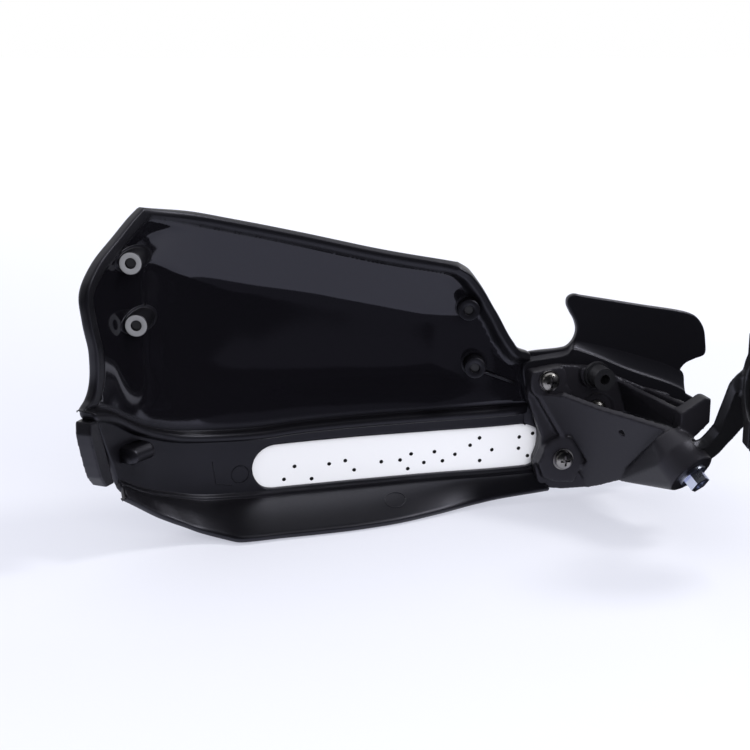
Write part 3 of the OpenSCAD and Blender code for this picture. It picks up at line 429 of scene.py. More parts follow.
def sheet_parts(point, loops, extra, t, r, metric=None, inner_rings=(), ring_part=None, gap=0.5,
                arc=4):
    """Verts and faces of a sheet with round edges over a domain with holes."""
    metric = metric or (lambda q: point(q, np.zeros(len(q))))
    loops = [np.asarray(l, float) for l in loops]
    loops = [l if (area(l) > 0) == (k == 0) else l[::-1] for k, l in enumerate(loops)]
    steps = [inward(metric, l) for l in loops]
    rims = [l + r * q for l, q in zip(loops, steps)]
    pts = [extra[inside(extra, rims[0])]] if len(extra) else []
    for l, q in zip(loops, steps):
        for off in (r + 0.35, r + 0.9):
            pts.append(l + off * q)
    for off in inner_rings:
        ring = loops[0] + off * steps[0]
        ok = ring_part(loops[0]) if ring_part else np.ones(len(ring), bool)
        pts.insert(0, ring[ok])
    pts = np.vstack(pts[::-1])
    keep = inside(pts, rims[0])
    for hole in rims[1:]:
        keep &= ~inside(pts, hole)
    pts = pts[keep]
    edge_line = [np.vstack([l, l[:1]]) for l in rims]
    far = np.min([distance(pts, l) for l in edge_line], axis=0)
    pts = thin(pts[far > 0.3], gap)
    coords, edges, spans = [], [], []
    for l in rims:
        n0 = len(coords)
        coords += l.tolist()
        edges += [(n0 + i, n0 + (i + 1) % len(l)) for i in range(len(l))]
        spans.append((n0, len(l)))
    coords += pts.tolist()
    vs, _, fs, orig, _, _ = delaunay_2d_cdt([Vector(c) for c in coords], edges, [], 0, 1e-5)
    vs = np.array([tuple(v) for v in vs])
    where = {}
    for k, ids in enumerate(orig):
        for o in ids:
            where[o] = k
    fs = np.array([f for f in fs if len(f) == 3])
    mid = vs[fs].mean(axis=1)
    keep = inside(mid, rims[0])
    for hole in rims[1:]:
        keep &= ~inside(mid, hole)
    fs = fs[keep]
    n = len(vs)
    front = point(vs, np.zeros(n))
    back = point(vs, np.full(n, t))
    verts = [front, back]
    tags = [np.column_stack([vs, np.zeros(n)]), np.column_stack([vs, np.full(n, t)])]
    faces = [tuple(f) for f in fs] + [tuple(f[::-1] + n) for f in fs]
    base = 2 * n
    angles = [math.pi / 2 * k / arc for k in range(arc + 1)]
    profile = [(r * (1 - math.sin(a)), r * (1 - math.cos(a))) for a in angles[1:]]
    profile += [(o, t - d) for o, d in profile[::-1]]
    for (n0, m), l, q in zip(spans, loops, steps):
        last = [where[n0 + i] for i in range(m)]
        for off, depth in profile:
            verts.append(point(l + off * q, np.full(m, depth)))
            tags.append(np.column_stack([l + off * q, np.full(m, depth)]))
            now = list(range(base, base + m))
            base += m
            for i in range(m):
                j = (i + 1) % m
                faces.append((last[i], last[j], now[j], now[i]))
            last = now
        end = [where[n0 + i] + n for i in range(m)]
        for i in range(m):
            j = (i + 1) % m
            faces.append((last[i], last[j], end[j], end[i]))
    return np.vstack(verts), faces, np.vstack(tags)


def grid(a_values, b_values):
    a, b = np.meshgrid(a_values, b_values)
    return np.stack([a.ravel(), b.ravel()], -1)


def join_parts(parts):
    verts, faces, base = [], [], 0
    for v, f, *_ in parts:
        verts.append(v)
        faces += [tuple(int(i) + base for i in q) for q in f]
        base += len(v)
    return np.vstack(verts), faces


def loft_parts(rings, closed_ends=True):
    """Tube through rings of the same length, ends filled with fans."""
    m = len(rings[0])
    verts = np.vstack(rings)
    faces = []
    for k in range(len(rings) - 1):
        for i in range(m):
            j = (i + 1) % m
            faces.append((k * m + i, k * m + j, (k + 1) * m + j, (k + 1) * m + i))
    if closed_ends:
        for k in (0, len(rings) - 1):
            c = len(verts)
            verts = np.vstack([verts, rings[k].mean(axis=0)])
            faces += [(k * m + (i + 1) % m, k * m + i, c) for i in range(m)]
    return verts, faces


# ---------------------------------------------------------------- guard shell
def bead_lines():
    v = np.linspace(0, 1, 160)
    left = np.stack([curve(LEFT_V, v), section(curve(LEFT_V, v), v, False)[1]], -1)
    s = np.linspace(47, 190, 120)
    top = np.stack([s, top_h(s)], -1)
    v = np.linspace(0, 0.6, 90)
    right = np.stack([curve(RIGHT_V, v), section(curve(RIGHT_V, v), v, False)[1]], -1)
    return left, top, right


BEAD_LINES = bead_lines()


def bead(s, v, h):
    out = np.zeros(len(s))
    m = v <= 1.02
    if not m.any():
        return out
    q = np.stack([s[m], h[m]], -1)
    left, top, right = (distance(q, l) for l in BEAD_LINES)
    wide = RIM_W + BEAD_EXTRA
    drop = lambda dist, w, soft: 1 - smooth((dist - w + 0.6) / soft)
    rise = BEAD_RISE * smooth((q[:, 0] - 182) / 14) * (1 - smooth((q[:, 0] - 216) / 10))
    soft = BEAD_SOFT + rise
    b = np.maximum(RIM_H * drop(left, wide, BEAD_SOFT),
                   (RIM_H + rise) * np.maximum(drop(top, RIM_W, soft), drop(right, RIM_W, soft)))
    out[m] = b * (1 - smooth((v[m] - 0.97) / 0.05))
    return out


def shell_point(q, depth, beads=True):
    s, v = q[:, 0], v_of_y(q[:, 1])
    di, hi = section(s, v, True)
    if beads:
        di = di + bead(s, v, hi)
    do, ho = section(s, v, False)
    e = 0.05
    d1, h1 = section(s, np.maximum(v - e, 0), False)
    d2, h2 = section(s, np.minimum(v + e, 4.5), False)
    td, th = d2 - d1, h2 - h1
    n = np.hypot(td, th)
    do, ho = do + WALL * th / n, ho - WALL * td / n
    k = depth / WALL
    return at(s, di + (do - di) * k, hi + (ho - hi) * k)


def shell_loops():
    v = np.linspace(0, 4.5, 500)
    right = np.stack([curve(RIGHT_V, v), y_of_v(v)], -1)
    left = np.stack([curve(LEFT_V, v), y_of_v(v)], -1)[::-1]
    s = np.linspace(47, 190, 120)[1:-1]
    top = np.stack([s, 0 * s], -1)
    s = np.linspace(RIGHT_V[-1][1], LEFT_V[-1][1], 160)[1:-1]
    foot = np.stack([s, 0 * s - Y_KNOTS[-1]], -1)
    out = []
    for side, cx in ((1, SLOT_RUN), (-1, 0)):
        for k in range(21):
            a = math.pi / 2 - math.pi * k / 20 if side == 1 else -math.pi / 2 - math.pi * k / 20
            out.append((cx + SLOT_H / 2 * math.cos(a), SLOT_H / 2 * math.sin(a)))
    out = resample(np.array(out), 1.0, closed=True)
    c, sn = math.cos(SLOT_RISE), math.sin(SLOT_RISE)
    x = SLOT_AT[0] + out[:, 0] * c - out[:, 1] * sn
    h = SLOT_AT[1] + out[:, 0] * sn + out[:, 1] * c
    s = s_of_x(x)
    t, b = curve(RIDGE_H, s) - 4.1, curve(FOLD_H, s) + 2.2
    slot = np.stack([s, y_of_v(2 + (h - t) / (b - t))], -1)
    seen = s < JOIN_S - 0.4
    start = next(i for i in range(len(s)) if seen[i] and not seen[i - 1])
    bay = np.roll(slot, -start, axis=0)[:int(seen.sum())]
    if bay[0, 1] < bay[-1, 1]:
        bay = bay[::-1]
    bay = np.vstack([[JOIN_S, bay[0, 1]], bay, [JOIN_S, bay[-1, 1]]])
    above = right[:, 1] > bay[0, 1] + 0.4
    below = right[:, 1] < bay[-1, 1] - 0.4
    return [resample(np.vstack([top, right[above], bay, right[below], foot, left]), 1.0, closed=True)]


def shell_sheet():
    b = np.concatenate([-np.arange(1, 69, 1.9), -np.linspace(69.5, 81.5, 17),
                        -np.arange(82.6, 102.6, 1.6), -np.linspace(103, 108.6, 9),
                        -np.arange(109.6, 142, 1.6)])
    extra = grid(np.arange(6, 234, 1.8), b)
    rings = (2.6, 3.0, 3.3, 3.6, 3.9, 4.3, 4.8, 5.2, 5.6, 6.1, 6.8)
    return sheet_parts(shell_point, shell_loops(), extra, WALL, 0.9,
                       metric=lambda q: shell_point(q, np.zeros(len(q)), beads=False),
                       inner_rings=rings, ring_part=lambda l: l[:, 1] > -69, gap=0.42)


def wing_sheet():
    top = rounded([[6, 62], [8.6, 66.4], [12.4, 68.2]] + SCALLOP + WING_END, closed=False, steps=10)
    low = np.array([[99, 33], [92, 26], [74, 18], [56, 8], [9, 8]], float)
    turn = np.radians(np.linspace(-100.4, 100.4, 40))
    bay = np.stack([SLOT_END[0] + SLOT_H / 2 / math.cos(WING_TURN) * np.cos(turn),
                    SLOT_END[1] + SLOT_H / 2 * np.sin(turn)], -1)
    loop = resample(np.vstack([top, low, bay]), 0.8, closed=True)
    holes = []
    for c in ARM_SCREWS:
        a = np.linspace(0, 2 * math.pi, 40, endpoint=False)
        holes.append(np.stack([c[0] + INSERT_D / 2 * np.cos(a), c[1] + INSERT_D / 2 * np.sin(a)], -1))

    def point(q, depth):
        front = -0.3 + 1.5 * smooth((q[:, 0] - 8.4) / 8)
        back = 0.6 - WALL + 0.3 * (1 - smooth((q[:, 0] - 12) / 10))
        return wing_at(q[:, 0], front + (back - front) * depth / 3.6, q[:, 1])
    extra = grid(np.arange(6, 101, 2.2), np.arange(8, 95, 2.2))
    return sheet_parts(point, [loop] + holes, extra, 3.6, 1.0, gap=0.4)


def offset_loop(loop, off):
    t = np.roll(loop, -1, axis=0) - np.roll(loop, 1, axis=0)
    t /= np.linalg.norm(t, axis=1)[:, None]
    sign = 1 if area(loop) > 0 else -1
    return loop + sign * off * np.stack([-t[:, 1], t[:, 0]], -1)


def saddle_part():
    top = np.array(SADDLE_TOP + SADDLE_FOOT, float)
    wide = [1, 1, 1, 1, 1.6, 2.4, 2.6, 2.2]
    base = np.array([[a[0] + b[0] * k, a[1] + b[1] * k] for a, b, k in zip(SADDLE_TOP, SADDLE_SLOPE, wide)]
                    + SADDLE_FOOT, float)
    n = 9
    dense = lambda p: np.vstack([np.linspace(p[i], p[(i + 1) % len(p)], n, endpoint=False)
                                 for i in range(len(p))])
    top, base = dense(top), dense(base)
    for _ in range(6):
        top = (np.roll(top, 1, axis=0) + 2 * top + np.roll(top, -1, axis=0)) / 4
        base = (np.roll(base, 1, axis=0) + 2 * base + np.roll(base, -1, axis=0)) / 4
    r = 0.8
    rings = [wing_at(base[:, 0], -1.5, base[:, 1]), wing_at(base[:, 0], 1.1, base[:, 1])]
    for u in (0.2, 0.4, 0.6, 0.8, 0.92):
        q = base + (top - base) * u
        rings.append(wing_at(q[:, 0], 1.1 + (SADDLE_OUT - r - 1.1) * u ** 1.7, q[:, 1]))
    for a in (0.3, 0.6, 0.9, 1.2, math.pi / 2):
        q = offset_loop(top, r * (1 - math.cos(a)))
        rings.append(wing_at(q[:, 0], SADDLE_OUT - r + r * math.sin(a), q[:, 1]))
    return loft_parts(rings)


def panel_base(s, h, face=panel_d):
    top = top_h(s)
    f = (top - h) / (top - foot_h(s))
    return np.where(f >= 1, 0, face(s, np.clip(f, 0, 1)))


def panel_point(s, h, depth):
    td, th = panel_base(s, h - 1) - panel_base(s, h + 1), -2.0
    n = np.hypot(td, th)
    return at(s, panel_base(s, h) + depth * th / n, h - depth * td / n)


def panel_y(x, h, depth):
    """Y of the panel's surface at a place along the bar and a height."""
    s = np.linspace(-5, 300, 1200)
    p = panel_point(s, np.full_like(s, h), depth)
    return float(np.interp(x, p[:, 0], p[:, 1]))


def inner_y(x, h):
    """Y of the panel's face towards the rider."""
    s = np.linspace(-5, 300, 1200)
    p = at(s, panel_base(s, np.full_like(s, h), panel_in), h)
    return float(np.interp(x, p[:, 0], p[:, 1]))


def boss_end(b):
    d = (np.diff(np.array([at(s_of_x(b[0]) + k, 0, 0) for k in (-0.5, 0.5)]), axis=0))[0]
    share = abs(d[0]) / math.hypot(d[0], d[1])
    return panel_y(b[0], b[1], 0) - (BOSS_REACH + PANEL_SAG) / max(0.5, share)


def boss_part(b):
    end = boss_end(b)
    m = 48
    a = np.linspace(0, 2 * math.pi, m, endpoint=False)
    ring = lambda r, y: np.stack([b[0] + r * np.cos(a), np.broadcast_to(y, m),
                                  b[1] + r * np.sin(a) - BAR_H], -1)
    r0, r1 = BOSS_BORE / 2, BOSS_D / 2
    surf = lambda r: np.array([inner_y(b[0] + r * math.cos(q), b[1] + r * math.sin(q)) for q in a])
    rings = [ring(r0 - 0.3, surf(r0) + 1.5), ring(r0 - 0.2, np.full(m, end + 2.5))]
    rings += [ring(r0, np.full(m, end + 1.2)), ring(r0, np.full(m, end + 0.5))]
    for q in (0.4, 0.8, 1.2):
        rings.append(ring(r0 + 0.5 * (1 - math.cos(q)), np.full(m, end + 0.5 - 0.5 * math.sin(q))))
    for q in (0.0, 0.3, 0.6, 0.9, 1.2, math.pi / 2):
        rings.append(ring(r1 - 0.6 * (1 - math.sin(q)), np.full(m, end + 0.6 * (1 - math.cos(q)))))
    foot = surf(r1 + 1.2)
    for q in (0.0, 0.3, 0.6, 0.9, 1.2, math.pi / 2):
        rr = r1 + 1.2 * (1 - math.cos(q))
        mix = 1.2 * (1 - math.sin(q))
        rings.append(ring(rr, surf(rr) - mix))
    rings.append(ring(r1 + 1.3, foot + 1.6))
    verts, faces = loft_parts(rings)
    pale = np.zeros(len(verts))
    # Painted highlight: the end faces of the two outer bosses are marked for a light grey colour that
    # stands in for the light they catch.
    if b[0] < -200:
        pale[5 * m:9 * m] = 1
    return verts, faces, pale


def end_rib_part():
    rings = []
    for q in np.linspace(0, 1, 13):
        s = RIB_S[0] + (RIB_S[1] - RIB_S[0]) * q
        edge = min(q, 1 - q) * (RIB_S[1] - RIB_S[0])
        r = 3.5 - 0.7 * max(0, 1 - edge / 1.2) ** 2
        a = np.linspace(0, math.pi, 15)
        d = np.concatenate([[-1], 4.5 - (3.5 - r) + r * np.sin(a), [-1]])
        h = RIB_H + np.concatenate([[r], r * np.cos(a), [-r]])
        rings.append(at(np.full(len(d), s), d, h))
    return loft_parts(rings)


def thin_rib_part():
    rings = []
    for q in np.linspace(0, 1, 5):
        x = RIB_TO_SADDLE[0][0] + (RIB_TO_SADDLE[1][0] - RIB_TO_SADDLE[0][0]) * q
        h = RIB_TO_SADDLE[0][1] + (RIB_TO_SADDLE[1][1] - RIB_TO_SADDLE[0][1]) * q
        d = np.array([-1.8, 2.6, 2.9, 3.0, 2.9, 2.6, -1.8])
        dh = np.array([0.8, 0.62, 0.4, 0, -0.4, -0.62, -0.8])
        rings.append(wing_at(np.full(7, x), d, h + dh))
    return loft_parts(rings)


def mark_part(s, v, r=0.3):
    """Fine raised line on the band or the lip, through places given by s and v."""
    d, h = section(s, v, True)
    d2, h2 = section(s, v + 0.02, True)
    d1, h1 = section(s, v - 0.02, True)
    td, th = d2 - d1, h2 - h1
    n = np.hypot(td, th)
    nd, nh = -th / n, td / n
    line = at(s, d, h)
    up = at(s, d + nd, h + nh) - line
    ahead = np.roll(line, -1, axis=0) - line
    ahead[-1] = ahead[-2]
    ahead /= np.linalg.norm(ahead, axis=1)[:, None]
    side = np.cross(ahead, up)
    rings = []
    for k in range(len(s)):
        a = np.linspace(0, 2 * math.pi, 9)[:-1]
        rings.append(line[k] + r * (np.outer(np.cos(a), side[k]) + 0.7 * np.outer(np.sin(a), up[k])))
    return loft_parts(rings)


def band_v(s, h):
    t, b = curve(RIDGE_H, s) - 4.1, curve(FOLD_H, s) + 2.2
    return 2 + (t - h) / (t - b)


def mark_parts():
    a = np.linspace(0, 2 * math.pi, 41)
    s, h = 93.75 + 3.85 * np.cos(a), 20.25 + 3.85 * np.sin(a)
    out = [mark_part(s, band_v(s, h))]
    line = resample(np.array([[81.25, 27.5], [82.75, 17.25], [90, 15.75]]), 1.0)
    out.append(mark_part(line[:, 0], band_v(line[:, 0], line[:, 1]), 0.24))
    out.append(mark_part(161.5 + 4.8 * np.cos(a), 4.0 + 0.2 * np.sin(a), 0.26))
    return out


def build_shell():
    sheet = shell_sheet()
    q = sheet[2]
    v = v_of_y(q[:, 1])
    b = bead(q[:, 0], v, section(q[:, 0], v, False)[1])
    polish = [(1 - smooth((b - 0.02) / 0.1)) * (1 - smooth((v - 0.975) / 0.02)) * (q[:, 2] < 0.05)]
    # Painted highlight mask: 1 on the outer bosses' end faces, 0 everywhere else.
    pale = [0 * polish[0]]
    parts = [sheet, wing_sheet(), saddle_part(), end_rib_part(), thin_rib_part(), *mark_parts()]
    parts += [boss_part(b) for b in BOSSES]
    for k, part in enumerate(parts[1:]):
        polish.append(np.zeros(len(part[0])))
        pale.append(part[2] if k >= len(parts) - 1 - len(BOSSES) else np.zeros(len(part[0])))
    return new_object("shell_skin", *join_parts(parts),
                      values={"polish": np.concatenate(polish), "pale": np.concatenate(pale)})


# ---------------------------------------------------------------- accent strip
def strip_sheet(top, bottom, holes):
    """Plate in front of the slot between two depths below its seat, with or without its holes."""
    back = -WALL - SEAT_GAP
    r = SLOT_H / 2 + STRIP_LAP

    def point(q, depth):
        c, sn = math.cos(SLOT_RISE), math.sin(SLOT_RISE)
        s = s_of_x(SLOT_AT[0] + q[:, 0] * c)
        return at(s, back - top - depth, SLOT_AT[1] + q[:, 0] * sn + q[:, 1])
    loop = []
    for side, cx in ((-1, 0), (1, SLOT_RUN)):
        for k in range(25):
            a = math.pi / 2 + math.pi * k / 24 if side == -1 else -math.pi / 2 + math.pi * k / 24
            loop.append((cx + r * math.cos(a), r * math.sin(a)))
    loops = [resample(np.array(loop), 1.2, closed=True)]
    if holes:
        a = np.linspace(0, 2 * math.pi, 20, endpoint=False)
        for x, h in VENTS:
            u = (x - SLOT_AT[0]) / math.cos(SLOT_RISE)
            w = h - SLOT_AT[1] - u * math.sin(SLOT_RISE)
            loops.append(np.stack([u + VENT_D / 2 * np.cos(a), w + VENT_D / 2 * np.sin(a)], -1))
    extra = grid(np.arange(-r, SLOT_RUN + r, 3.0), np.arange(-r, r, 2.6))
    return sheet_parts(point, loops, extra, bottom - top, 0.15, gap=0.5)


def build_strip():
    plate = strip_sheet(0.0, STRIP_T - VENT_FLOOR, True)
    floor = strip_sheet(STRIP_T - VENT_FLOOR, STRIP_T, False)
    q = plate[2]
    vents = np.array(VENTS)
    along = (vents[:, 0] - SLOT_AT[0]) / math.cos(SLOT_RISE)
    centres = np.stack([along, vents[:, 1] - SLOT_AT[1] - along * math.sin(SLOT_RISE)], -1)
    near = np.min(np.hypot(q[:, None, 0] - centres[:, 0], q[:, None, 1] - centres[:, 1]), axis=1)
    # Painted shade: the vent holes' walls and the floor seen through them are marked for a near-black
    # colour.
    deep = (near < VENT_D / 2 + 0.2) & (q[:, 2] > 0.1)
    return new_object("strip_skin", *join_parts([plate, floor]),
                      values={"deep": np.concatenate([deep * 1.0, (floor[2][:, 2] < 0.05) * 1.0])})


# ---------------------------------------------------------------- front cover
def cover_sheet():
    s0, s1, foot, deep = 33.0, 207.0, 7.0, 60.0

    def point(q, depth):
        s, u = q[:, 0], -q[:, 1] / deep
        t, b = curve(COVER_TOP, s), curve(RIDGE_H, s) + foot
        return panel_point(s, t + (b - t) * u, COVER_BACK + COVER_T - depth)
    corner = 4.0
    loop = []
    for cx, cy, a0 in ((s1 - corner, -corner, 90), (s1 - corner, -deep + corner, 0),
                       (s0 + corner, -deep + corner, -90), (s0 + corner, -corner, -180)):
        for k in range(7):
            a = math.radians(a0 - 15 * k)
            loop.append((cx + corner * math.cos(a), cy + corner * math.sin(a)))
    loop = resample(np.array(loop), 1.3, closed=True)
    extra = grid(np.arange(s0, s1, 2.4), -np.arange(0, deep, 2.4))
    return sheet_parts(point, [loop], extra, COVER_T, 0.8, gap=0.6)


def pad_y(b):
    front = COVER_BACK + COVER_T
    return 0.15 + max(panel_y(b[0] - BOSS_D / 2, b[1], front), panel_y(b[0] + BOSS_D / 2, b[1], front))


def pad_part(b):
    m = 40
    a = np.linspace(0, 2 * math.pi, m, endpoint=False)
    ring = lambda r, y: np.stack([b[0] + r * np.cos(a), np.full(m, y),
                                  b[1] + r * np.sin(a) - BAR_H], -1)
    end = pad_y(b)
    low = min(panel_y(b[0] + BOSS_D / 2 * k, b[1], COVER_BACK + 0.8) for k in (-1, 1))
    rings = [ring(BOSS_D / 2, low)]
    for q in (0.0, 0.4, 0.8, 1.2, math.pi / 2):
        rings.append(ring(BOSS_D / 2 - 0.5 * (1 - math.cos(q)), end - 0.5 + 0.5 * math.sin(q)))
    return loft_parts(rings)


def build_cover():
    return new_object("cover_skin", *join_parts([cover_sheet()] + [pad_part(b) for b in BOSSES]))


# ---------------------------------------------------------------- materials
# Painted reflection colour: a blue tint on the reflections of every part material, standing in for bluish
# room light.
PAINTED_SHEEN_TINT = (0.84, 0.84, 1.0)


def plastic(name, colour, rough, bump=0.0, scale=900.0, spec=0.5):
    m = bpy.data.materials.new(name)
    m.use_nodes = True
    n, l = m.node_tree.nodes, m.node_tree.links
    p = n["Principled BSDF"]
    p.inputs["Base Color"].default_value = (*colour, 1)
    p.inputs["Roughness"].default_value = rough
    p.inputs["Specular IOR Level"].default_value = spec
    co = n.new("ShaderNodeTexCoord")
    no = n.new("ShaderNodeTexNoise")
    no.inputs["Scale"].default_value = scale
    no.inputs["Detail"].default_value = 4
    l.new(co.outputs["Object"], no.inputs["Vector"])
    mr = n.new("ShaderNodeMapRange")
    mr.inputs["To Min"].default_value = rough * 0.88
    mr.inputs["To Max"].default_value = min(1, rough * 1.12)
    l.new(no.outputs["Fac"], mr.inputs["Value"])
    l.new(mr.outputs["Result"], p.inputs["Roughness"])
    # Painted reflection colour: tints this material's reflections blue.
    p.inputs["Specular Tint"].default_value = (*PAINTED_SHEEN_TINT, 1)
    if bump:
        b = n.new("ShaderNodeBump")
        b.inputs["Strength"].default_value = bump
        b.inputs["Distance"].default_value = 0.0001
        l.new(no.outputs["Fac"], b.inputs["Height"])
        l.new(b.outputs["Normal"], p.inputs["Normal"])
    return m


def blend(m, key, socket, other):
    """Mixes another value into a socket by a value stored on the mesh."""
    n, l = m.node_tree.nodes, m.node_tree.links
    p = n["Principled BSDF"].inputs[socket]
    is_colour = p.type == "RGBA"
    at_ = n.new("ShaderNodeAttribute")
    at_.attribute_name = key
    mix_ = n.new("ShaderNodeMix")
    mix_.data_type = "RGBA" if is_colour else "FLOAT"
    a, b, out = (mix_.inputs[6], mix_.inputs[7], mix_.outputs[2]) if is_colour else \
        (mix_.inputs[2], mix_.inputs[3], mix_.outputs[0])
    if p.is_linked:
        l.new(p.links[0].from_socket, a)
    else:
        a.default_value = p.default_value
    b.default_value = (*other, 1) if is_colour else other
    l.new(at_.outputs["Fac"], mix_.inputs[0])
    l.new(out, p)


def metal(name, colour, rough, metallic=1.0, scale=400.0):
    m = plastic(name, colour, rough, 0.15, scale)
    m.node_tree.nodes["Principled BSDF"].inputs["Metallic"].default_value = metallic
    return m


SHELL_MAT = plastic("shell_black", (0.0034, 0.0032, 0.0044), 0.42, 0.08, 700)
blend(SHELL_MAT, "polish", "Roughness", 0.08)
# Painted highlight: the marked end faces of the outer bosses take a light grey base colour.
blend(SHELL_MAT, "pale", "Base Color", (0.2, 0.2, 0.21))
CAP_MAT = plastic("cap_black", (0.0045, 0.0042, 0.0055), 0.4, 0.08, 700)
COVER_MAT = plastic("cover_black", (0.012, 0.012, 0.013), 0.34, 0.2, 900)
ARM_MAT = plastic("arm_black", (0.011, 0.0103, 0.013), 0.46, 0.3, 1100, spec=0.4)
STRIP_MAT = plastic("strip_white", (0.9, 0.9, 0.94), 0.45, 0.05, 600)
# Painted shade: the marked vent walls and floor take a near-black base colour.
blend(STRIP_MAT, "deep", "Base Color", (0.006, 0.006, 0.006))
STEEL_MAT = metal("screw_steel", (0.32, 0.31, 0.3), 0.3)
DARK_STEEL_MAT = metal("dark_steel", (0.05, 0.05, 0.055), 0.4, 0.6)
ZINC_MAT = metal("zinc", (0.62, 0.66, 0.78), 0.28)
BRASS_MAT = metal("brass", (0.6, 0.42, 0.16), 0.35)
RUBBER_MAT = plastic("rubber", (0.009, 0.009, 0.01), 0.55, 0.3, 800)
CLAMP_MAT = plastic("clamp_paint", (0.011, 0.011, 0.012), 0.36, 0.25, 1000)

NODE_MATS = {
    "guard_shell": SHELL_MAT, "front_cover": COVER_MAT, "end_cap": CAP_MAT, "accent_strip": STRIP_MAT,
    "mount_arm": ARM_MAT, "rubber_bush": RUBBER_MAT, "clamp_body": CLAMP_MAT, "clamp_cap": CLAMP_MAT,
    "clamp_bolt": ZINC_MAT, "clamp_nut": ZINC_MAT, "clamp_screw_upper": DARK_STEEL_MAT,
    "clamp_screw_lower": DARK_STEEL_MAT, "end_cap_screw": DARK_STEEL_MAT,
}
for name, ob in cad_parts.items():
    mat = NODE_MATS.get(name)
    if mat is None:
        mat = BRASS_MAT if name.startswith("insert") else STEEL_MAT if name.startswith("arm_") \
            else DARK_STEEL_MAT
    ob.data.materials.clear()
    ob.data.materials.append(mat)


def soften(ob, width, angle=28, segments=3):
    b = ob.modifiers.new("edges", "BEVEL")
    b.width = width * MM
    b.segments = segments
    b.limit_method = "ANGLE"
    b.angle_limit = math.radians(angle)
    b.harden_normals = True
    b.use_clamp_overlap = True


def cast(ob, voxel, rounds):
    """Rounds every edge as a casting has it."""
    r = ob.modifiers.new("cast", "REMESH")
    r.mode = "VOXEL"
    r.voxel_size = voxel * MM
    r.use_smooth_shade = True
    s = ob.modifiers.new("round", "SMOOTH")
    s.factor = 0.5
    s.iterations = rounds


for name, voxel, rounds in (("mount_arm", 0.6, 7), ("end_cap", 0.5, 6), ("clamp_body", 0.7, 4),
                            ("clamp_cap", 0.7, 4)):
    cast(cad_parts[name], voxel, rounds)
for name, width in (("clamp_bolt", 0.25), ("clamp_nut", 0.3), ("rubber_bush", 0.5)):
    soften(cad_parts[name], width)

shell = build_shell()
shell.data.materials.append(SHELL_MAT)
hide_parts("guard_shell")
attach(shell, "root")

strip = build_strip()
strip.data.materials.append(STRIP_MAT)
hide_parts("accent_strip")
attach(strip, "root")

cover = build_cover()
cover.data.materials.append(COVER_MAT)
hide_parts("front_cover")
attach(cover, "root")

# ---------------------------------------------------------------- stage, light and camera
FLOOR_Z = cad_box[0][2] - 0.0002


def stage_plane(name, corners, mat):
    me = bpy.data.meshes.new(name)
    me.from_pydata(corners, [], [tuple(range(len(corners)))])
    ob = bpy.data.objects.new(name, me)
    ob.data.materials.append(mat)
    bpy.context.collection.objects.link(ob)
    return ob


floor_mat = bpy.data.materials.new("table_white")
floor_mat.use_nodes = True
fn, fl = floor_mat.node_tree.nodes, floor_mat.node_tree.links
fp = fn["Principled BSDF"]
fp.inputs["Base Color"].default_value = (0.42, 0.42, 0.44, 1)
fp.inputs["Roughness"].default_value = 0.7
fp.inputs["Specular IOR Level"].default_value = 0.1
path = fn.new("ShaderNodeLightPath")
glow = fn.new("ShaderNodeEmission")
glow.inputs["Color"].default_value = (0.85, 0.87, 1.0, 1)
both = fn.new("ShaderNodeAddShader")
scaled = fn.new("ShaderNodeMath")
scaled.operation = "MULTIPLY"
scaled.inputs[1].default_value = 0.48
seen = fn.new("ShaderNodeMath")
seen.operation = "MAXIMUM"
fl.new(path.outputs["Is Camera Ray"], seen.inputs[0])
fl.new(path.outputs["Is Glossy Ray"], seen.inputs[1])
place = fn.new("ShaderNodeTexCoord")
axis = fn.new("ShaderNodeSeparateXYZ")
deeper = fn.new("ShaderNodeMapRange")
deeper.inputs["From Min"].default_value = 0.15
deeper.inputs["From Max"].default_value = 1.2
deeper.inputs["To Min"].default_value = 0.45
deeper.inputs["To Max"].default_value = 0.72
fl.new(place.outputs["Object"], axis.inputs[0])
fl.new(axis.outputs["Y"], deeper.inputs["Value"])
fl.new(deeper.outputs[0], scaled.inputs[1])
fl.new(seen.outputs[0], scaled.inputs[0])
fl.new(scaled.outputs[0], glow.inputs["Strength"])
fl.new(fp.outputs[0], both.inputs[0])
fl.new(glow.outputs[0], both.inputs[1])
fl.new(both.outputs[0], fn["Material Output"].inputs["Surface"])
TABLE_FRONT = -0.15
TABLE_BACK = 4
TABLE_HALF = 3
stage_plane("table", [(-TABLE_HALF, TABLE_FRONT, FLOOR_Z), (TABLE_HALF, TABLE_FRONT, FLOOR_Z),
                      (TABLE_HALF, TABLE_BACK, FLOOR_Z), (-TABLE_HALF, TABLE_BACK, FLOOR_Z)], floor_mat)


def room_mat(name, colour, strength, rough=0.5, spec=0.5):
    """Dark wall that only reflections see, with a faint light of its own."""
    m = bpy.data.materials.new(name)
    m.use_nodes = True
    q = m.node_tree.nodes["Principled BSDF"].inputs
    q["Base Color"].default_value = (0.01, 0.01, 0.012, 1)
    q["Roughness"].default_value = rough
    q["Specular IOR Level"].default_value = spec
    q["Emission Color"].default_value = (*colour, 1)
    q["Emission Strength"].default_value = strength
    return m


def lying(x0, x1, y0, y1, z=FLOOR_Z + 0.002):
    return [(x0, y0, z), (x1, y0, z), (x1, y1, z), (x0, y1, z)]


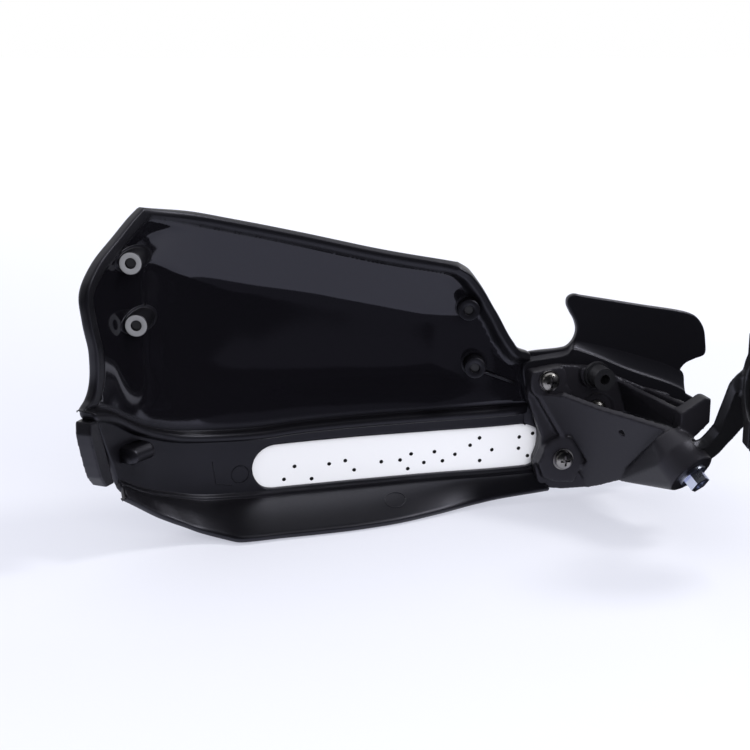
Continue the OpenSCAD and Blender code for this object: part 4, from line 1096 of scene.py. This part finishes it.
DARK = room_mat("room_dark", (0, 0, 0), 0.0, rough=1.0, spec=0.0)
ROOM = [
    ("room_front", [(-2.5, -1.2, -1.0), (2.5, -1.2, -1.0), (2.5, -1.2, 1.6), (-2.5, -1.2, 1.6)], DARK),
    ("room_side", [(1.3, -1.2, -1.0), (1.3, 0.8, -1.0), (1.3, 0.8, 2.2), (1.3, -1.2, 2.2)],
     room_mat("room_side", (0.8, 0.82, 1.0), 0.1)),
    ("room_roof", [(-2.5, -1.2, 1.6), (2.5, -1.2, 1.6), (2.5, -0.1, 1.9), (-2.5, -0.1, 1.9)], DARK),
    ("room_floor", [(-2.5, -1.2, -1.0), (2.5, -1.2, -1.0), (2.5, TABLE_FRONT, -0.3),
                    (-2.5, TABLE_FRONT, -0.3)], DARK),
    ("room_near", lying(-0.3, -0.03, -0.7, -0.06), room_mat("room_near", (0.85, 0.85, 1.0), 0.12)),
    ("room_left", lying(-1.6, -0.3, -0.7, -0.06), DARK),
    ("room_flag", lying(-0.03, 1.6, -0.7, 0.4), DARK),
]
for name, corners, mat in ROOM:
    ob = stage_plane(name, corners, mat)
    ob.visible_camera = False
    ob.visible_diffuse = False
    ob.visible_shadow = False

world = bpy.data.worlds.new("world")
bpy.context.scene.world = world
world.use_nodes = True
wn, wl = world.node_tree.nodes, world.node_tree.links
bg = wn["Background"]
bg.inputs["Color"].default_value = (0.93, 0.95, 1.0, 1)
wp = wn.new("ShaderNodeLightPath")
m1 = wn.new("ShaderNodeMath")
m1.operation = "MAXIMUM"
m2 = wn.new("ShaderNodeMath")
m2.operation = "MAXIMUM"
wl.new(wp.outputs["Is Camera Ray"], m1.inputs[0])
wl.new(wp.outputs["Is Glossy Ray"], m1.inputs[1])
wl.new(m1.outputs[0], m2.inputs[0])
wl.new(wp.outputs["Is Transmission Ray"], m2.inputs[1])
white = wn.new("ShaderNodeBackground")
white.inputs["Color"].default_value = (1, 1, 1, 1)
white.inputs["Strength"].default_value = 1.0
mix = wn.new("ShaderNodeMixShader")
wl.new(m2.outputs[0], mix.inputs[0])
wl.new(bg.outputs[0], mix.inputs[1])
wl.new(white.outputs[0], mix.inputs[2])
wl.new(mix.outputs[0], wn["World Output"].inputs["Surface"])
bg.inputs["Strength"].default_value = 1.0


def lamp(name, place, aim, size, power, colour=(1, 1, 1)):
    la = bpy.data.lights.new(name, "AREA")
    la.size = size
    la.energy = power
    la.color = colour
    ob = bpy.data.objects.new(name, la)
    ob.location = place
    ob.rotation_euler = (Vector(aim) - Vector(place)).to_track_quat("-Z", "Y").to_euler()
    bpy.context.collection.objects.link(ob)
    return ob


lamp("key", (0.75, 0.1, 0.95), (-0.12, 0.05, 0), 0.3, 7.0)
front = lamp("front", (0.1, -0.9, 0.35), (-0.12, 0.05, 0), 0.5, 6.0)
front.visible_glossy = False

cam = bpy.data.cameras.new("camera")
cam.sensor_width = 36.0
cam.lens = 70.86
cam.clip_start = 0.01
cam.clip_end = 20
cam_ob = bpy.data.objects.new("camera", cam)
cam_ob.location = (-0.156, -0.55087, 0.15547)
cam_ob.rotation_euler = (math.radians(75), 0, 0)
bpy.context.collection.objects.link(cam_ob)
bpy.context.scene.camera = cam_ob
bpy.context.scene.view_settings.view_transform = "Standard"
